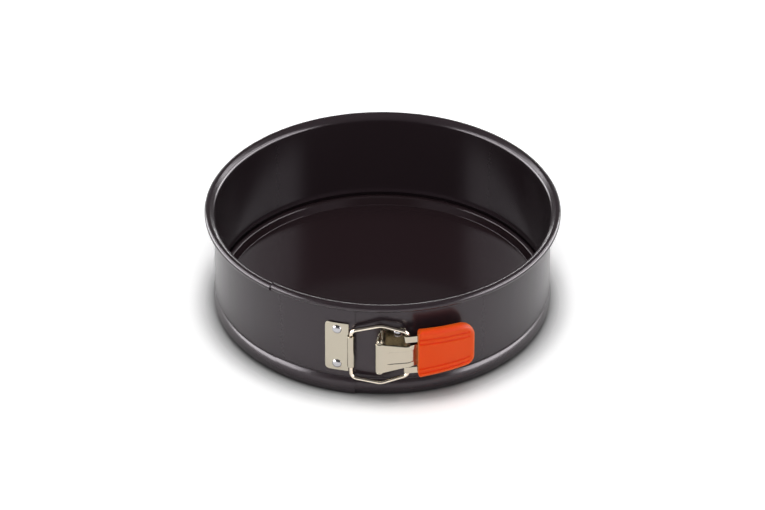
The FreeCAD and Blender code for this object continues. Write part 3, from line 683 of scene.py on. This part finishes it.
# ---- band ----
def band_route(height):
    """The middle of the band's sheet, from under the foot up into the rim's roll."""
    lower = FOOT_CENTRE_Z + (FOOT_RADIUS + WAIST_RADIUS) * sin(FOOT_ANGLE)
    lower += (WAIST_RADIUS + WAIST_FADE) * sin(WAIST_ANGLE)
    roll = ROLL_RADIUS - SHEET / 2
    reach = RIM_REACH + SHEET / 2 - ROLL_RADIUS - roll * cos(NECK_ANGLE)
    rise = height - ROLL_RADIUS + roll * sin(NECK_ANGLE)
    slope = (reach - NECK_RADIUS * (1 - cos(NECK_ANGLE))) / sin(NECK_ANGLE)
    wall_top = rise - NECK_RADIUS * sin(NECK_ANGLE) - slope * cos(NECK_ANGLE)
    down = Route(WALL_INSIDE + SHEET / 2, lower, -90)
    down.arc(WAIST_FADE, -WAIST_ANGLE).arc(WAIST_RADIUS, WAIST_ANGLE + FOOT_ANGLE)
    down.arc(FOOT_RADIUS, -FOOT_ANGLE - FOOT_UNDER)
    route = down.backwards().line(wall_top - lower)
    return route.arc(NECK_RADIUS, -NECK_ANGLE).line(slope).arc(roll, -ROLL_TURN)


def over_table(points):
    """The points above the table, with new points where the outline crosses it."""
    kept = []
    for i, (radius, height) in enumerate(points):
        next_radius, next_height = points[(i + 1) % len(points)]
        if height >= 0:
            kept.append((radius, height))
        if (height >= 0) != (next_height >= 0):
            share = height / (height - next_height)
            kept.append((radius + share * (next_radius - radius), 0.0))
    return kept


def band_section(height, shift):
    """The band's section, with its sheet moved outwards by a shift."""
    half = SHEET / 2
    return over_table(sheet_section(band_route(height), half - shift, half + shift, 5.0, 4.0))


class PAN_OT_band(Operator):
    """Makes the band in lengths that meet where the frame hinges"""

    bl_idname = "pan.band"
    bl_label = "Make Band"

    def execute(self, context):
        sizes = context.scene.pan_sizes
        height = sizes.height / MM
        paint = MATERIALS["coating"]
        plain, lapped = band_section(height, 0.0), band_section(height, LAP_SHIFT)
        growth = LAP_SHIFT / cos(FRONT_HINGE + LAP_START)
        step = sizes.azimuth_step
        back, left, right = "band_back", "side_left", "side_right"
        # Name, section, first and last azimuth, growth, bodies, and where the bend starts and ends.
        rows = [
            ("band_rear_right", plain, 90, 180, 0.0, (back, right), (172, 98)),
            ("band_front_right", plain, INNER_END, 90, 0.0, (right, "end_right"), (86, 12)),
            ("band_rear_left", plain, -180, -90, growth, (back, left), (-172, -98)),
            ("band_front_left", plain, -90, LAP_START, growth, (left, "end_left"), (-88, -40)),
        ]
        for name, section, start, end, grown, bodies, bend in rows:
            made = turned(name, section, paint, step, start, end - start, grown)
            ends = [Vector((*around(WALL_INSIDE, azimuth), height / 2)) * MM for azimuth in bend]
            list(bodies)
            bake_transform(made)
        lap = turned("band_lap_left", lapped, paint, step, LAP_START, OUTER_END - LAP_START)
        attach(lap, "end_left")
        parts = bpy.data.objects
        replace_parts(parts["band_rear_right"], "band_back", "band_side_right")
        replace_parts(parts["band_front_right"], "band_end_right")
        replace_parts(parts["band_front_left"], "band_side_left")
        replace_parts(lap, "band_end_left")
        return {"FINISHED"}


# ---- base ----
def base_section(floor_height):
    """Half the base plate's section, from the axis out to its rolled edge."""
    hem = HEM_RADIUS - BASE_SHEET / 2
    foot_centre = WALL_INSIDE + SHEET / 2 - (WAIST_FADE + WAIST_RADIUS) * (1 - cos(WAIST_ANGLE))
    foot_centre += (WAIST_RADIUS + FOOT_RADIUS) * (1 - cos(FOOT_ANGLE)) - FOOT_RADIUS
    reach = FOOT_RADIUS - SHEET / 2 - HEM_GAP - HEM_RADIUS
    hem_centre = foot_centre + math.sqrt(reach**2 - HEM_RISE**2)
    rise = FOOT_CENTRE_Z + HEM_RISE + hem - (floor_height - BASE_SHEET / 2)
    step = (rise - 2 * STEP_BEND * (1 - cos(STEP_ANGLE))) / sin(STEP_ANGLE)
    run = 2 * STEP_BEND * sin(STEP_ANGLE) + step * cos(STEP_ANGLE)
    route = Route(0, floor_height - BASE_SHEET / 2, 0).line(hem_centre - FLANGE - run)
    route.arc(STEP_BEND, STEP_ANGLE).line(step).arc(STEP_BEND, -STEP_ANGLE)
    route.line(FLANGE).arc(hem, -HEM_TURN)
    return sheet_section(route, BASE_SHEET / 2, BASE_SHEET / 2, 8.0, 12.0)


class PAN_OT_base(Operator):
    """Makes the loose base plate"""

    bl_idname = "pan.base"
    bl_label = "Make Base Plate"

    def execute(self, context):
        section = base_section(context.scene.pan_sizes.floor_height / MM)
        made = turned("base_floor", section, MATERIALS["base_coating"], 1.25)
        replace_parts(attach(made, "base"), "base_plate")
        return {"FINISHED"}


# ---- keeper and bail ----
KEEPER_LEFT = -19.193
KEEPER_TUBE = -10.195
KEEPER_HALF = 16.8
KEEPER_CORNER = 2.5
KEEPER_NOTCH = 1.75
KEEPER_CURL = 288.0
TUBE_LOW, TUBE_HIGH = -11.9, 9.8


class PAN_OT_keeper(Operator):
    """Makes the keeper plate with its edge curled round the bail"""

    bl_idname = "pan.keeper"
    bl_label = "Make Keeper"

    def execute(self, context):
        middle = LAP_FACE + KEEPER_SHEET / 2
        wire = context.scene.latch_sizes.wire_diameter / MM / 2
        route = Route(*around(middle, KEEPER_LEFT), KEEPER_LEFT)
        width = route.arc(middle, KEEPER_TUBE - KEEPER_LEFT).length
        end = route.arc(wire + WIRE_PLAY + KEEPER_SHEET / 2, -KEEPER_CURL).length
        notch = width - KEEPER_NOTCH
        corners = mirrored([(0, -KEEPER_HALF, KEEPER_CORNER), (notch, -KEEPER_HALF, 0.5)])
        corners[2:2] = [(notch, TUBE_LOW, 0.4), (end, TUBE_LOW, 0.2)]
        corners[4:4] = [(end, TUBE_HIGH, 0.2), (notch, TUBE_HIGH, 0.4)]
        outline = rounded_path(corners)
        lengths = spread(0, width, 1.5) + route.stops(12.0, 3.0)[1:]
        paint = MATERIALS["plated_steel"]
        plate = ("keeper_shell", outline, route, KEEPER_SHEET, paint, 0.2)
        made = weigh_normals(bent_plate(*plate, lengths, spread(-16, 16, 4.0)))
        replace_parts(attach(made, "end_left"), "keeper_plate")
        return {"FINISHED"}


# Each corner of the bail: its place in plan, its height over the latch's middle, its bend.
BAIL_CORNERS = (
    ("tube", 13.2, 4.0),
    ("peak", 18.8, 9.0),
    ("hook", 14.5, 4.0),
    ("hook", -15.9, 4.0),
    ("peak", -22.1, 9.0),
    ("tube", -19.8, 4.0),
)
PEAK_X = -0.8
PEAK_BOW = 0.9


class PAN_OT_bail(Operator):
    """Makes the bail, a closed loop of wire"""

    bl_idname = "pan.bail"
    bl_label = "Make Bail"

    def execute(self, context):
        radius = context.scene.latch_sizes.wire_diameter / 2 / MM
        low, high = [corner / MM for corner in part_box("bail_wire")]
        tube_x, tube_y, _ = joint_place("bail_swing")
        hook_x, hook_y = around(BLADE_RADIUS - LEVER_SHEET / 2 - HOOK_PLAY - radius, PRONG_END)
        share = (PEAK_X - tube_x) / (hook_x - tube_x)
        peak_y = tube_y + share * (hook_y - tube_y) - PEAK_BOW
        plan = {"tube": (tube_x, tube_y), "peak": (PEAK_X, peak_y), "hook": (hook_x, hook_y)}
        corners = [(*plan[place], LATCH_Z + height, bend) for place, height, bend in BAIL_CORNERS]
        path = section_mesh("bail_loop", rounded_path(corners, 9.0))
        values = {"Radius": radius * MM, "Sides": 28, "Material": MATERIALS["wire"]}
        made = run_tree("bail_loop", path, TREES["wire"], values)
        tidy_mesh(made, 60.0)
        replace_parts(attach(made, "bail"), "bail_wire")
        return {"FINISHED"}


# ---- rivets and pin ----
RIVET_HEIGHT = 1.3
SHANK_RADIUS = 1.5
DOME_STEPS = 14
DOME_FLATNESS, DOME_FULLNESS = 2.4, 0.6
DOME_RIM = 0.12
PIN_TIP = 0.35


def rivet_section(radius, depth):
    """Half of a rivet's section, pointing up, with its head's rim at height 0."""
    outs = [sin(90 * k / DOME_STEPS) for k in range(DOME_STEPS)]
    rises = [(1 - out**DOME_FLATNESS) ** DOME_FULLNESS for out in outs]
    points = [(radius * out, RIVET_HEIGHT * rise) for out, rise in zip(outs, rises)]
    points += [(radius, DOME_RIM), (radius - DOME_RIM / 2, 0.0)]
    return points + [(SHANK_RADIUS, 0.0), (SHANK_RADIUS, -depth), (0, -depth)]


class PAN_OT_rivets(Operator):
    """Makes the domed rivets of the keeper and of the bracket"""

    bl_idname = "pan.rivets"
    bl_label = "Make Rivets"

    def execute(self, context):
        head = context.scene.latch_sizes.rivet_head / 2 / MM
        bracket_face = WALL_INSIDE + SHEET + BRACKET_SHEET
        # Name, body, face under the heads, length behind it, azimuth and spacing.
        rows = [
            ("keeper_rivet", "end_left", LAP_FACE + KEEPER_SHEET, 1.55, -15.093, 24.4),
            ("bracket_rivet", "end_right", bracket_face, 1.9, 5.097, 22.2),
        ]
        for name, body, face, depth, azimuth, spacing in rows:
            single = turned("single", rivet_section(head, depth), MATERIALS["rivet"], 10.0)
            lowest = (LATCH_Z - spacing / 2) * MM
            values = {"Count": 2, "Spacing": spacing * MM, "Lowest": lowest}
            values |= {"Radius": face * MM, "Azimuth": azimuth, "Material": MATERIALS["rivet"]}
            made = run_tree(name + "s", single.data.copy(), TREES["rivets"], values)
            bpy.data.objects.remove(single)
            smooth(made, 40.0)
            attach(made, body)
            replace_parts(made, name + "_upper", name + "_lower")
        return {"FINISHED"}


class PAN_OT_pin(Operator):
    """Makes the pivot pin with its peened ends"""

    bl_idname = "pan.pin"
    bl_label = "Make Pin"

    def execute(self, context):
        low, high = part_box("pivot_pin")
        x, y, _ = joint_place("lever_swing")
        middle, half = (low.z + high.z) / 2 / MM, (high.z - low.z) / 2 / MM - PIN_TIP
        turns = spread(0, 90, 22.5)
        tip = [(PIN_RADIUS - PIN_TIP * (1 - cos(t)), half + PIN_TIP * sin(t)) for t in turns]
        rising = [(radius, -height) for radius, height in reversed(tip)] + tip
        points = [(radius, middle + height) for radius, height in rising]
        points = [(0, points[0][1]), *points, (0, points[-1][1])]
        made = turned("pin_shaft", points, MATERIALS["wire"], 10.0)
        made.data.transform(Matrix.Translation(Vector((x, y, 0)) * MM))
        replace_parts(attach(made, "end_right"), "pivot_pin")
        return {"FINISHED"}


# ---- lever and grip ----
TONGUE_HALF = 10.0
TONGUE_NECK = 7.3
RIB_HALF = 4.3
RIB_HEIGHT = -0.4
RIB_FLANK = 0.45
RIB_FADE, RIB_END = 7.5, 2.5
PRONG_INNER, PRONG_OUTER = 8.7, 13.1
TANG_HALF = 10.5
TANG_START = 12.709
BLADE_END = 26.477
DIP_RADIUS, DIP_ANGLE, DIP_SLOPE = 4.0, 22.0, 3.6
RISE_ANGLE, RISE_REACH = 25.0, 15.8
TONGUE_CURL = 290.0
LIP_RADIUS, LIP_ANGLE = 0.9, 62.0


def tongue_route():
    """Plan of the lever's tongue, from inside the grip to its curl round the pin."""
    start = GRIP_START + 3.0
    route = Route(*around(BLADE_RADIUS, start), start + 180)
    route.arc(BLADE_RADIUS, GRIP_START - 0.2 - start).arc(DIP_RADIUS, DIP_ANGLE).line(DIP_SLOPE)
    route.arc(DIP_RADIUS, -RISE_ANGLE).line(RISE_REACH)
    return route.arc(PIN_RADIUS + PIN_PLAY + LEVER_SHEET / 2, -TONGUE_CURL)


class PAN_OT_lever(Operator):
    """Makes the pressed lever: tongue, prongs and the blade inside the grip"""

    bl_idname = "pan.lever"
    bl_label = "Make Lever"

    def execute(self, context):
        paint = MATERIALS["plated_steel"]
        route = tongue_route()
        knuckle = route.steps[-1][0]
        corners = [
            (0, -TONGUE_NECK, 0),
            (knuckle - 15.0, -TONGUE_NECK, 3.0),
            (knuckle - 1.0, -TONGUE_HALF, 1.0),
            (route.length, -TONGUE_HALF, 0.2),
        ]
        outline = rounded_path(mirrored(corners))

        def rib(along, height, out):
            """The pressed rib, which runs out before the curl."""
            across = 1 - ease(abs(height), RIB_HALF - RIB_FLANK, RIB_HALF)
            along = 1 - ease(along, knuckle - RIB_FADE, knuckle - RIB_END)
            return height, out + RIB_HEIGHT * across * along

        flanks = spread(RIB_HALF - RIB_FLANK - 0.1, RIB_HALF + 0.1, 0.08)
        heights = {side * place for side in (-1, 1) for place in (*flanks, 0, 2, 7, 8)}
        lengths = spread(0, knuckle, 0.8)
        lengths += spread(knuckle - RIB_FADE - 0.1, knuckle - RIB_END + 0.1, 0.4)
        lengths += [stop for stop in route.stops(8.0, 9.0) if stop > knuckle]
        tongue = ("tongue", outline, route, LEVER_SHEET, paint, 0.25)
        pieces = [bent_plate(*tongue, lengths, sorted(heights), rib)]

        start = GRIP_START + 1.0
        lip = PRONG_END - math.degrees((WIRE_RADIUS + HOOK_PLAY) / BLADE_RADIUS)
        prong = Route(*around(BLADE_RADIUS, start), start + 180)
        prong.arc(BLADE_RADIUS, lip - start).arc(LIP_RADIUS, -LIP_ANGLE)
        for low, high in ((-PRONG_OUTER, -PRONG_INNER), (PRONG_INNER, PRONG_OUTER)):
            end = prong.length
            corners = [(0, low, 0), (end, low, 0.5), (end, high, 0.5), (0, high, 0)]
            outline, stops = rounded_path(corners), prong.stops(10.0, 1.5)
            pieces.append(bent_plate("prong", outline, prong, LEVER_SHEET, paint, 0.22, stops))
        start = GRIP_START + 0.6
        blade = Route(*around(BLADE_RADIUS, BLADE_END), BLADE_END + 180)
        blade.arc(BLADE_RADIUS, start - BLADE_END)
        end, shoulder = blade.length, BLADE_RADIUS * math.radians(BLADE_END - TANG_START)
        corners = [(0, -TANG_HALF), (shoulder, -TANG_HALF), (shoulder, -PRONG_OUTER)]
        outline = mirrored([*corners, (end, -PRONG_OUTER)])
        stops = spread(0, end, 2.0)
        pieces.append(bent_plate("blade", outline, blade, LEVER_SHEET, paint, 0.2, stops))
        made = weigh_normals(joined("lever_plate", pieces))
        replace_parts(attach(made, "lever"), "lever")
        return {"FINISHED"}


GRIP_TOP, GRIP_BOTTOM = 17.2, 15.7
TOP_TAPER, BOTTOM_TAPER = 1.2, 4.7
GRIP_START_EDGE = 0.9
GROOVES = (8.8, 11.9)
GROOVE_RADIUS = 0.8
GROOVE_DEPTH = 1.1 * GROOVE_RADIUS
GROOVE_FADE = (3.7, 4.9)


class PAN_OT_grip(Operator):
    """Makes the soft grip with its grooves"""

    bl_idname = "pan.grip"
    bl_label = "Make Grip"

    def execute(self, context):
        edge = context.scene.latch_sizes.grip_edge / MM
        route = Route(*around(GRIP_MIDDLE, GRIP_END), GRIP_END + 180)
        route.arc(GRIP_MIDDLE, GRIP_START - GRIP_END)
        width = route.length
        corners = [(0, -GRIP_BOTTOM, 5.5), (width, -GRIP_BOTTOM, 3.0)]
        corners += [(width, GRIP_TOP, 3.0), (0, GRIP_TOP, 9.5)]
        outline = rounded_path(corners, 5.0)

        def edge_radius(along, height):
            """The edge's radius, which falls to GRIP_START_EDGE at the latch's side."""
            return edge + (GRIP_START_EDGE - edge) * ease(along, width - 2.6, width - 0.4)

        def pressed(along, height, out):
            """The taper towards the end, and the grooves along the outer face."""
            if out > GRIP_THICKNESS / 2 - 0.3:
                depth = 0.0
                for groove in GROOVES:
                    off = min(1.0, abs(abs(height) - groove) / GROOVE_RADIUS)
                    depth += math.sqrt(1 - off**2)
                out -= GROOVE_DEPTH * depth * ease(along, *GROOVE_FADE)
            away = (width - along) * cos((GRIP_END - GRIP_START) / 2)
            top = -away * math.tan(math.radians(TOP_TAPER))
            bottom = away * math.tan(math.radians(BOTTOM_TAPER))
            return height + bottom + (top - bottom) * ease(height, -8.0, 8.0), out

        tenths = (-11, -10, -8.5, -6, -3, 0, 3, 6, 8.5, 10, 11)
        across = [groove + tenth / 10 * GROOVE_RADIUS for groove in GROOVES for tenth in tenths]
        heights = sorted(across + [-place for place in across] + spread(-8, 8, 1.0))
        lengths = spread(0, width, 1.0) + spread(*GROOVE_FADE, 0.15)
        plate = ("grip_sleeve", outline, route, GRIP_THICKNESS, MATERIALS["silicone"])
        made = bent_plate(*plate, edge_radius, lengths, heights, pressed)
        smooth(made, 50.0)
        weigh_normals(made)
        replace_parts(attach(made, "lever"), "lever_grip")
        return {"FINISHED"}


# ---- bracket ----
BRACKET_RIGHT = 7.803
BRACKET_HALF = 14.6
BRACKET_BEND = 5.0
BRACKET_HEADING = 250.0
BRACKET_CURL = 250.0
KNUCKLE_GAP = 0.3
KNUCKLE_HEIGHT = 0.8
EAR_BULGE = 0.6


def bracket_route():
    """Plan of the bracket: along the wall, out, and round the pin."""
    pin_x, pin_y, _ = joint_place("lever_swing")
    middle = WALL_INSIDE + SHEET + BRACKET_SHEET / 2
    curl = PIN_RADIUS + PIN_PLAY + BRACKET_SHEET / 2
    heading = BRACKET_HEADING
    tangent_x = pin_x - curl * cos(heading + 90)
    tangent_y = pin_y - curl * sin(heading + 90)
    low, high = -30.0, BRACKET_RIGHT
    for _ in range(60):
        azimuth = (low + high) / 2
        bend = Route(*around(middle, azimuth), azimuth + 180)
        bend.arc(BRACKET_BEND, heading - azimuth - 180)
        if (tangent_y - bend.y) * cos(heading) - (tangent_x - bend.x) * sin(heading) > 0:
            low = azimuth
        else:
            high = azimuth
    route = Route(*around(middle, BRACKET_RIGHT), BRACKET_RIGHT + 180)
    route.arc(middle, azimuth - BRACKET_RIGHT).arc(BRACKET_BEND, heading - azimuth - 180)
    route.line(math.hypot(tangent_x - route.x, tangent_y - route.y))
    return route.arc(curl, BRACKET_CURL)


class PAN_OT_bracket(Operator):
    """Makes the bracket that holds the lever's pin"""

    bl_idname = "pan.bracket"
    bl_label = "Make Bracket"

    def execute(self, context):
        route = bracket_route()
        bend = route.steps[1][0]
        inner = TONGUE_HALF + KNUCKLE_GAP
        outer = inner + KNUCKLE_HEIGHT
        pin_y = joint_place("lever_swing")[1]
        wall_y = -(WALL_INSIDE + SHEET + BRACKET_SHEET)

        def ear(along):
            """Half the bracket's height, which falls in a shallow arc towards the pin."""
            share = max(0.0, min(1.0, (wall_y - route.place(along)[1]) / (wall_y - pin_y)))
            bulge = EAR_BULGE * 4 * share * (1 - share)
            return BRACKET_HALF + share * (outer - BRACKET_HALF) + bulge

        room = pin_y + PIN_RADIUS + PIN_PLAY + LEVER_SHEET + KNUCKLE_GAP
        gap = next(s for s in spread(bend, route.length, 0.1) if route.place(s)[1] < room)
        stops = route.stops(9.0, 1.0)
        square = [(0, -BRACKET_HALF, 2.5), (9, -BRACKET_HALF, 0), (9, 9, 0), (0, 9, 0)]
        corners = rounded_path(square)[:-3]
        corners += [(stop, -ear(stop)) for stop in stops if stop > bend - 3.0]
        outline = mirrored([*corners, (route.length, -inner), (gap, -inner)])
        paint = MATERIALS["plated_steel"]
        plate = ("bracket_shell", outline, route, BRACKET_SHEET, paint, 0.15)
        made = weigh_normals(bent_plate(*plate, stops))
        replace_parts(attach(made, "end_right"), "lever_bracket")
        return {"FINISHED"}


# ---- stage, in metres and radians ----
FLOOR_REACH = 12.0
FLOOR_DROP = 0.00005
FLOOR_SHADE, FLOOR_SEEN = 0.86, 0.5
# Painted light: for the camera the floor's colour grows lighter away from the pan, faster along X.
FLOOR_PAINTED_LIFT, SIDE_PAINTED_LIFT = 2.1, 3.2
# Painted contact shadow: ambient occlusion within this reach, raised to this power, darkens the
# floor's colour.
PAINTED_SHADOW_REACH, PAINTED_SHADOW_POWER = 0.015, 1.5
SKY_LIGHT, SKY_SEEN, SKY_MIRRORED = 0.2, 0.8, -0.06
SENSOR_WIDTH, LENS = 36.0, 235.294118
CAMERA_DISTANCE, CAMERA_ELEVATION = 3.0302, 0.60642
YAW, PITCH, ROLL = -0.00012, 0.597731, 0.0057467
# Each lamp's name, place, target, width, height and power, and the light it doesn't give.
LAMPS = (
    ("lamp_low_left", (-1.6, 0.2, 0.35), (0, 0.2, 0.2), 3.2, 0.64, 72, "diffuse"),
    ("lamp_high_left", (-1.5, 0.3, 1.16), (0, 0.1, 0.1), 2.4, 0.3, 22, "diffuse"),
    ("lamp_low_right", (1.6, 0.2, 0.35), (0, 0.2, 0.2), 3.2, 0.64, 72, "diffuse"),
    ("lamp_high_right", (1.5, 0.3, 1.16), (0, 0.1, 0.1), 2.4, 0.3, 22, "diffuse"),
    ("lamp_back", (0, 4.0, 0.35), (0, 0, 0.2), 3.0, 0.4, 45, None),
    ("lamp_front", (0, -2.2, 1.5), (0, 0, 0.03), 1.4, 1.4, 22, "glossy"),
    ("lamp_top", (0, 0, 2.0), (0, 0, 0.03), 1.6, 1.6, 24, "glossy"),
)


def softbox(name, place, target, width, height, power, unseen):
    """A rectangular lamp that faces a point, hidden from the camera."""
    data = bpy.data.lights.new(name, "AREA")
    data.shape = "RECTANGLE"
    data.size, data.size_y = width, height
    data.energy = power
    lamp = new_object(name, data)
    lamp.location = place
    lamp.rotation_euler = (Vector(target) - Vector(place)).to_track_quat("-Z", "Y").to_euler()
    lamp.visible_camera = False
    if unseen:
        setattr(lamp, "visible_" + unseen, False)


def floor_material():
    """A floor that looks white to the eye and in reflections, and keeps the pan's shadow.

    Its colour carries a painted contact shadow, darkened close to the pan by ambient occlusion, and
    painted light that makes it lighter away from the pan for the camera.
    """
    made = bpy.data.materials.new("Floor White")
    made.use_nodes = True
    tree = made.node_tree
    tree.nodes.clear()
    rays = add_node(tree, "ShaderNodeLightPath").outputs
    seen = calculate(tree, "MAXIMUM", rays["Is Camera Ray"], rays["Is Glossy Ray"])
    seen = calculate(tree, "MAXIMUM", seen, rays["Is Transmission Ray"])
    # Painted contact shadow: ambient occlusion darkens the colour close to the pan.
    links = {"Distance": PAINTED_SHADOW_REACH}
    near = add_node(tree, "ShaderNodeAmbientOcclusion", links, samples=16).outputs["AO"]
    # Painted light: the colour grows lighter away from the pan, for the camera only.
    place = object_place(tree)
    links = {0: place, 1: (SIDE_PAINTED_LIFT, 1, 1)}
    wide = output(tree, "ShaderNodeVectorMath", links, operation="MULTIPLY")
    links = {0: place, 1: wide}
    away = add_node(tree, "ShaderNodeVectorMath", links, operation="DOT_PRODUCT").outputs["Value"]
    rise = calculate(tree, "MULTIPLY", rays["Is Camera Ray"], away)
    shade = calculate(tree, "MULTIPLY_ADD", seen, FLOOR_SEEN, FLOOR_SHADE)
    shade = calculate(tree, "MULTIPLY_ADD", rise, FLOOR_PAINTED_LIFT, shade)
    shade = calculate(tree, "MULTIPLY", shade, calculate(tree, "POWER", near, PAINTED_SHADOW_POWER))
    paint = output(tree, "ShaderNodeBsdfDiffuse", {"Color": shade})
    add_node(tree, "ShaderNodeOutputMaterial", {"Surface": paint})
    return made


def camera_place():
    """The camera's matrix: where it stands, and how it is turned."""
    flat = math.cos(PITCH)
    ahead = Vector((math.sin(YAW) * flat, math.cos(YAW) * flat, -math.sin(PITCH)))
    right = ahead.cross(Vector((0, 0, 1))).normalized()
    up = right.cross(ahead)
    tilted = math.cos(ROLL) * right + math.sin(ROLL) * up
    upright = math.cos(ROLL) * up - math.sin(ROLL) * right
    place = Matrix((tilted, upright, -ahead)).transposed().to_4x4()
    away = Vector((0, -math.cos(CAMERA_ELEVATION), math.sin(CAMERA_ELEVATION)))
    place.translation = CAMERA_DISTANCE * away
    return place


class PAN_OT_stage(Operator):
    """Sets up the floor, the lights and the camera"""

    bl_idname = "pan.stage"
    bl_label = "Set Stage"

    def execute(self, context):
        scene = context.scene
        mesh = bpy.data.meshes.new("floor")
        corners = [(-1, -1), (1, -1), (1, 1), (-1, 1)]
        places = [(x * FLOOR_REACH, y * FLOOR_REACH, -FLOOR_DROP) for x, y in corners]
        mesh.from_pydata(places, [], [(0, 1, 2, 3)])
        mesh.materials.append(floor_material())
        new_object("floor", mesh)

        scene.world = bpy.data.worlds.new("Studio")
        scene.world.use_nodes = True
        tree = scene.world.node_tree
        rays = add_node(tree, "ShaderNodeLightPath").outputs
        sky = calculate(tree, "MULTIPLY_ADD", rays["Is Camera Ray"], SKY_SEEN, SKY_LIGHT)
        sky = calculate(tree, "MULTIPLY_ADD", rays["Is Glossy Ray"], SKY_MIRRORED, sky)
        feed(tree, tree.nodes["Background"], {"Color": (1, 1, 1, 1), "Strength": sky})
        for lamp in LAMPS:
            softbox(*lamp)

        data = bpy.data.cameras.new("camera")
        data.sensor_width, data.lens, data.clip_end = SENSOR_WIDTH, LENS, 50.0
        camera = new_object("camera", data)
        camera.matrix_world = camera_place()
        scene.camera = camera
        scene.view_settings.view_transform = "Standard"
        return {"FINISHED"}


class PAN_OT_finishes(Operator):
    """Builds the shared node trees and every material"""

    bl_idname = "pan.finishes"
    bl_label = "Build Finishes"

    def execute(self, context):
        TREES["turned"] = turned_sheet_tree()
        TREES["wire"] = bent_wire_tree()
        TREES["rivets"] = rivet_row_tree()
        TREES["grain"] = grain_group()
        TREES["marks"] = handling_group()
        finishes = context.scene.pan_finishes
        for name in LOOKS:
            finish_material(name, list(getattr(finishes, name)))
        return {"FINISHED"}


class PAN_PT_panel(Panel):
    """Lists the pan's sizes, finishes and pieces"""

    bl_idname = "PAN_PT_panel"
    bl_label = "Springform Pan"
    bl_space_type = "VIEW_3D"
    bl_region_type = "UI"
    bl_category = "Pan"

    def draw(self, context):
        scene = context.scene
        for group in (scene.pan_sizes, scene.latch_sizes, scene.pan_finishes):
            column = self.layout.column()
            for name in group.bl_rna.properties.keys():
                if name not in ("rna_type", "name"):
                    column.prop(group, name)
        for operator in OPERATORS:
            self.layout.operator(operator.bl_idname)


OPERATORS = (
    PAN_OT_finishes,
    PAN_OT_band,
    PAN_OT_base,
    PAN_OT_keeper,
    PAN_OT_bail,
    PAN_OT_rivets,
    PAN_OT_pin,
    PAN_OT_lever,
    PAN_OT_grip,
    PAN_OT_bracket,
    PAN_OT_stage,
)
GROUPS = (
    ("pan_sizes", PanSizes),
    ("latch_sizes", LatchSizes),
    ("pan_finishes", PanFinishes),
)


def register():
    for name, group in GROUPS:
        bpy.utils.register_class(group)
        setattr(bpy.types.Scene, name, bpy.props.PointerProperty(type=group))
    for operator in OPERATORS:
        bpy.utils.register_class(operator)
    bpy.utils.register_class(PAN_PT_panel)


def unregister():
    bpy.utils.unregister_class(PAN_PT_panel)
    for operator in reversed(OPERATORS):
        bpy.utils.unregister_class(operator)
    for name, group in reversed(GROUPS):
        delattr(bpy.types.Scene, name)
        bpy.utils.unregister_class(group)


def main():
    """Builds everything."""
    register()
    for operator in OPERATORS:
        group, name = operator.bl_idname.split(".")
        getattr(getattr(bpy.ops, group), name)()


if __name__ == "__main__":
    main()
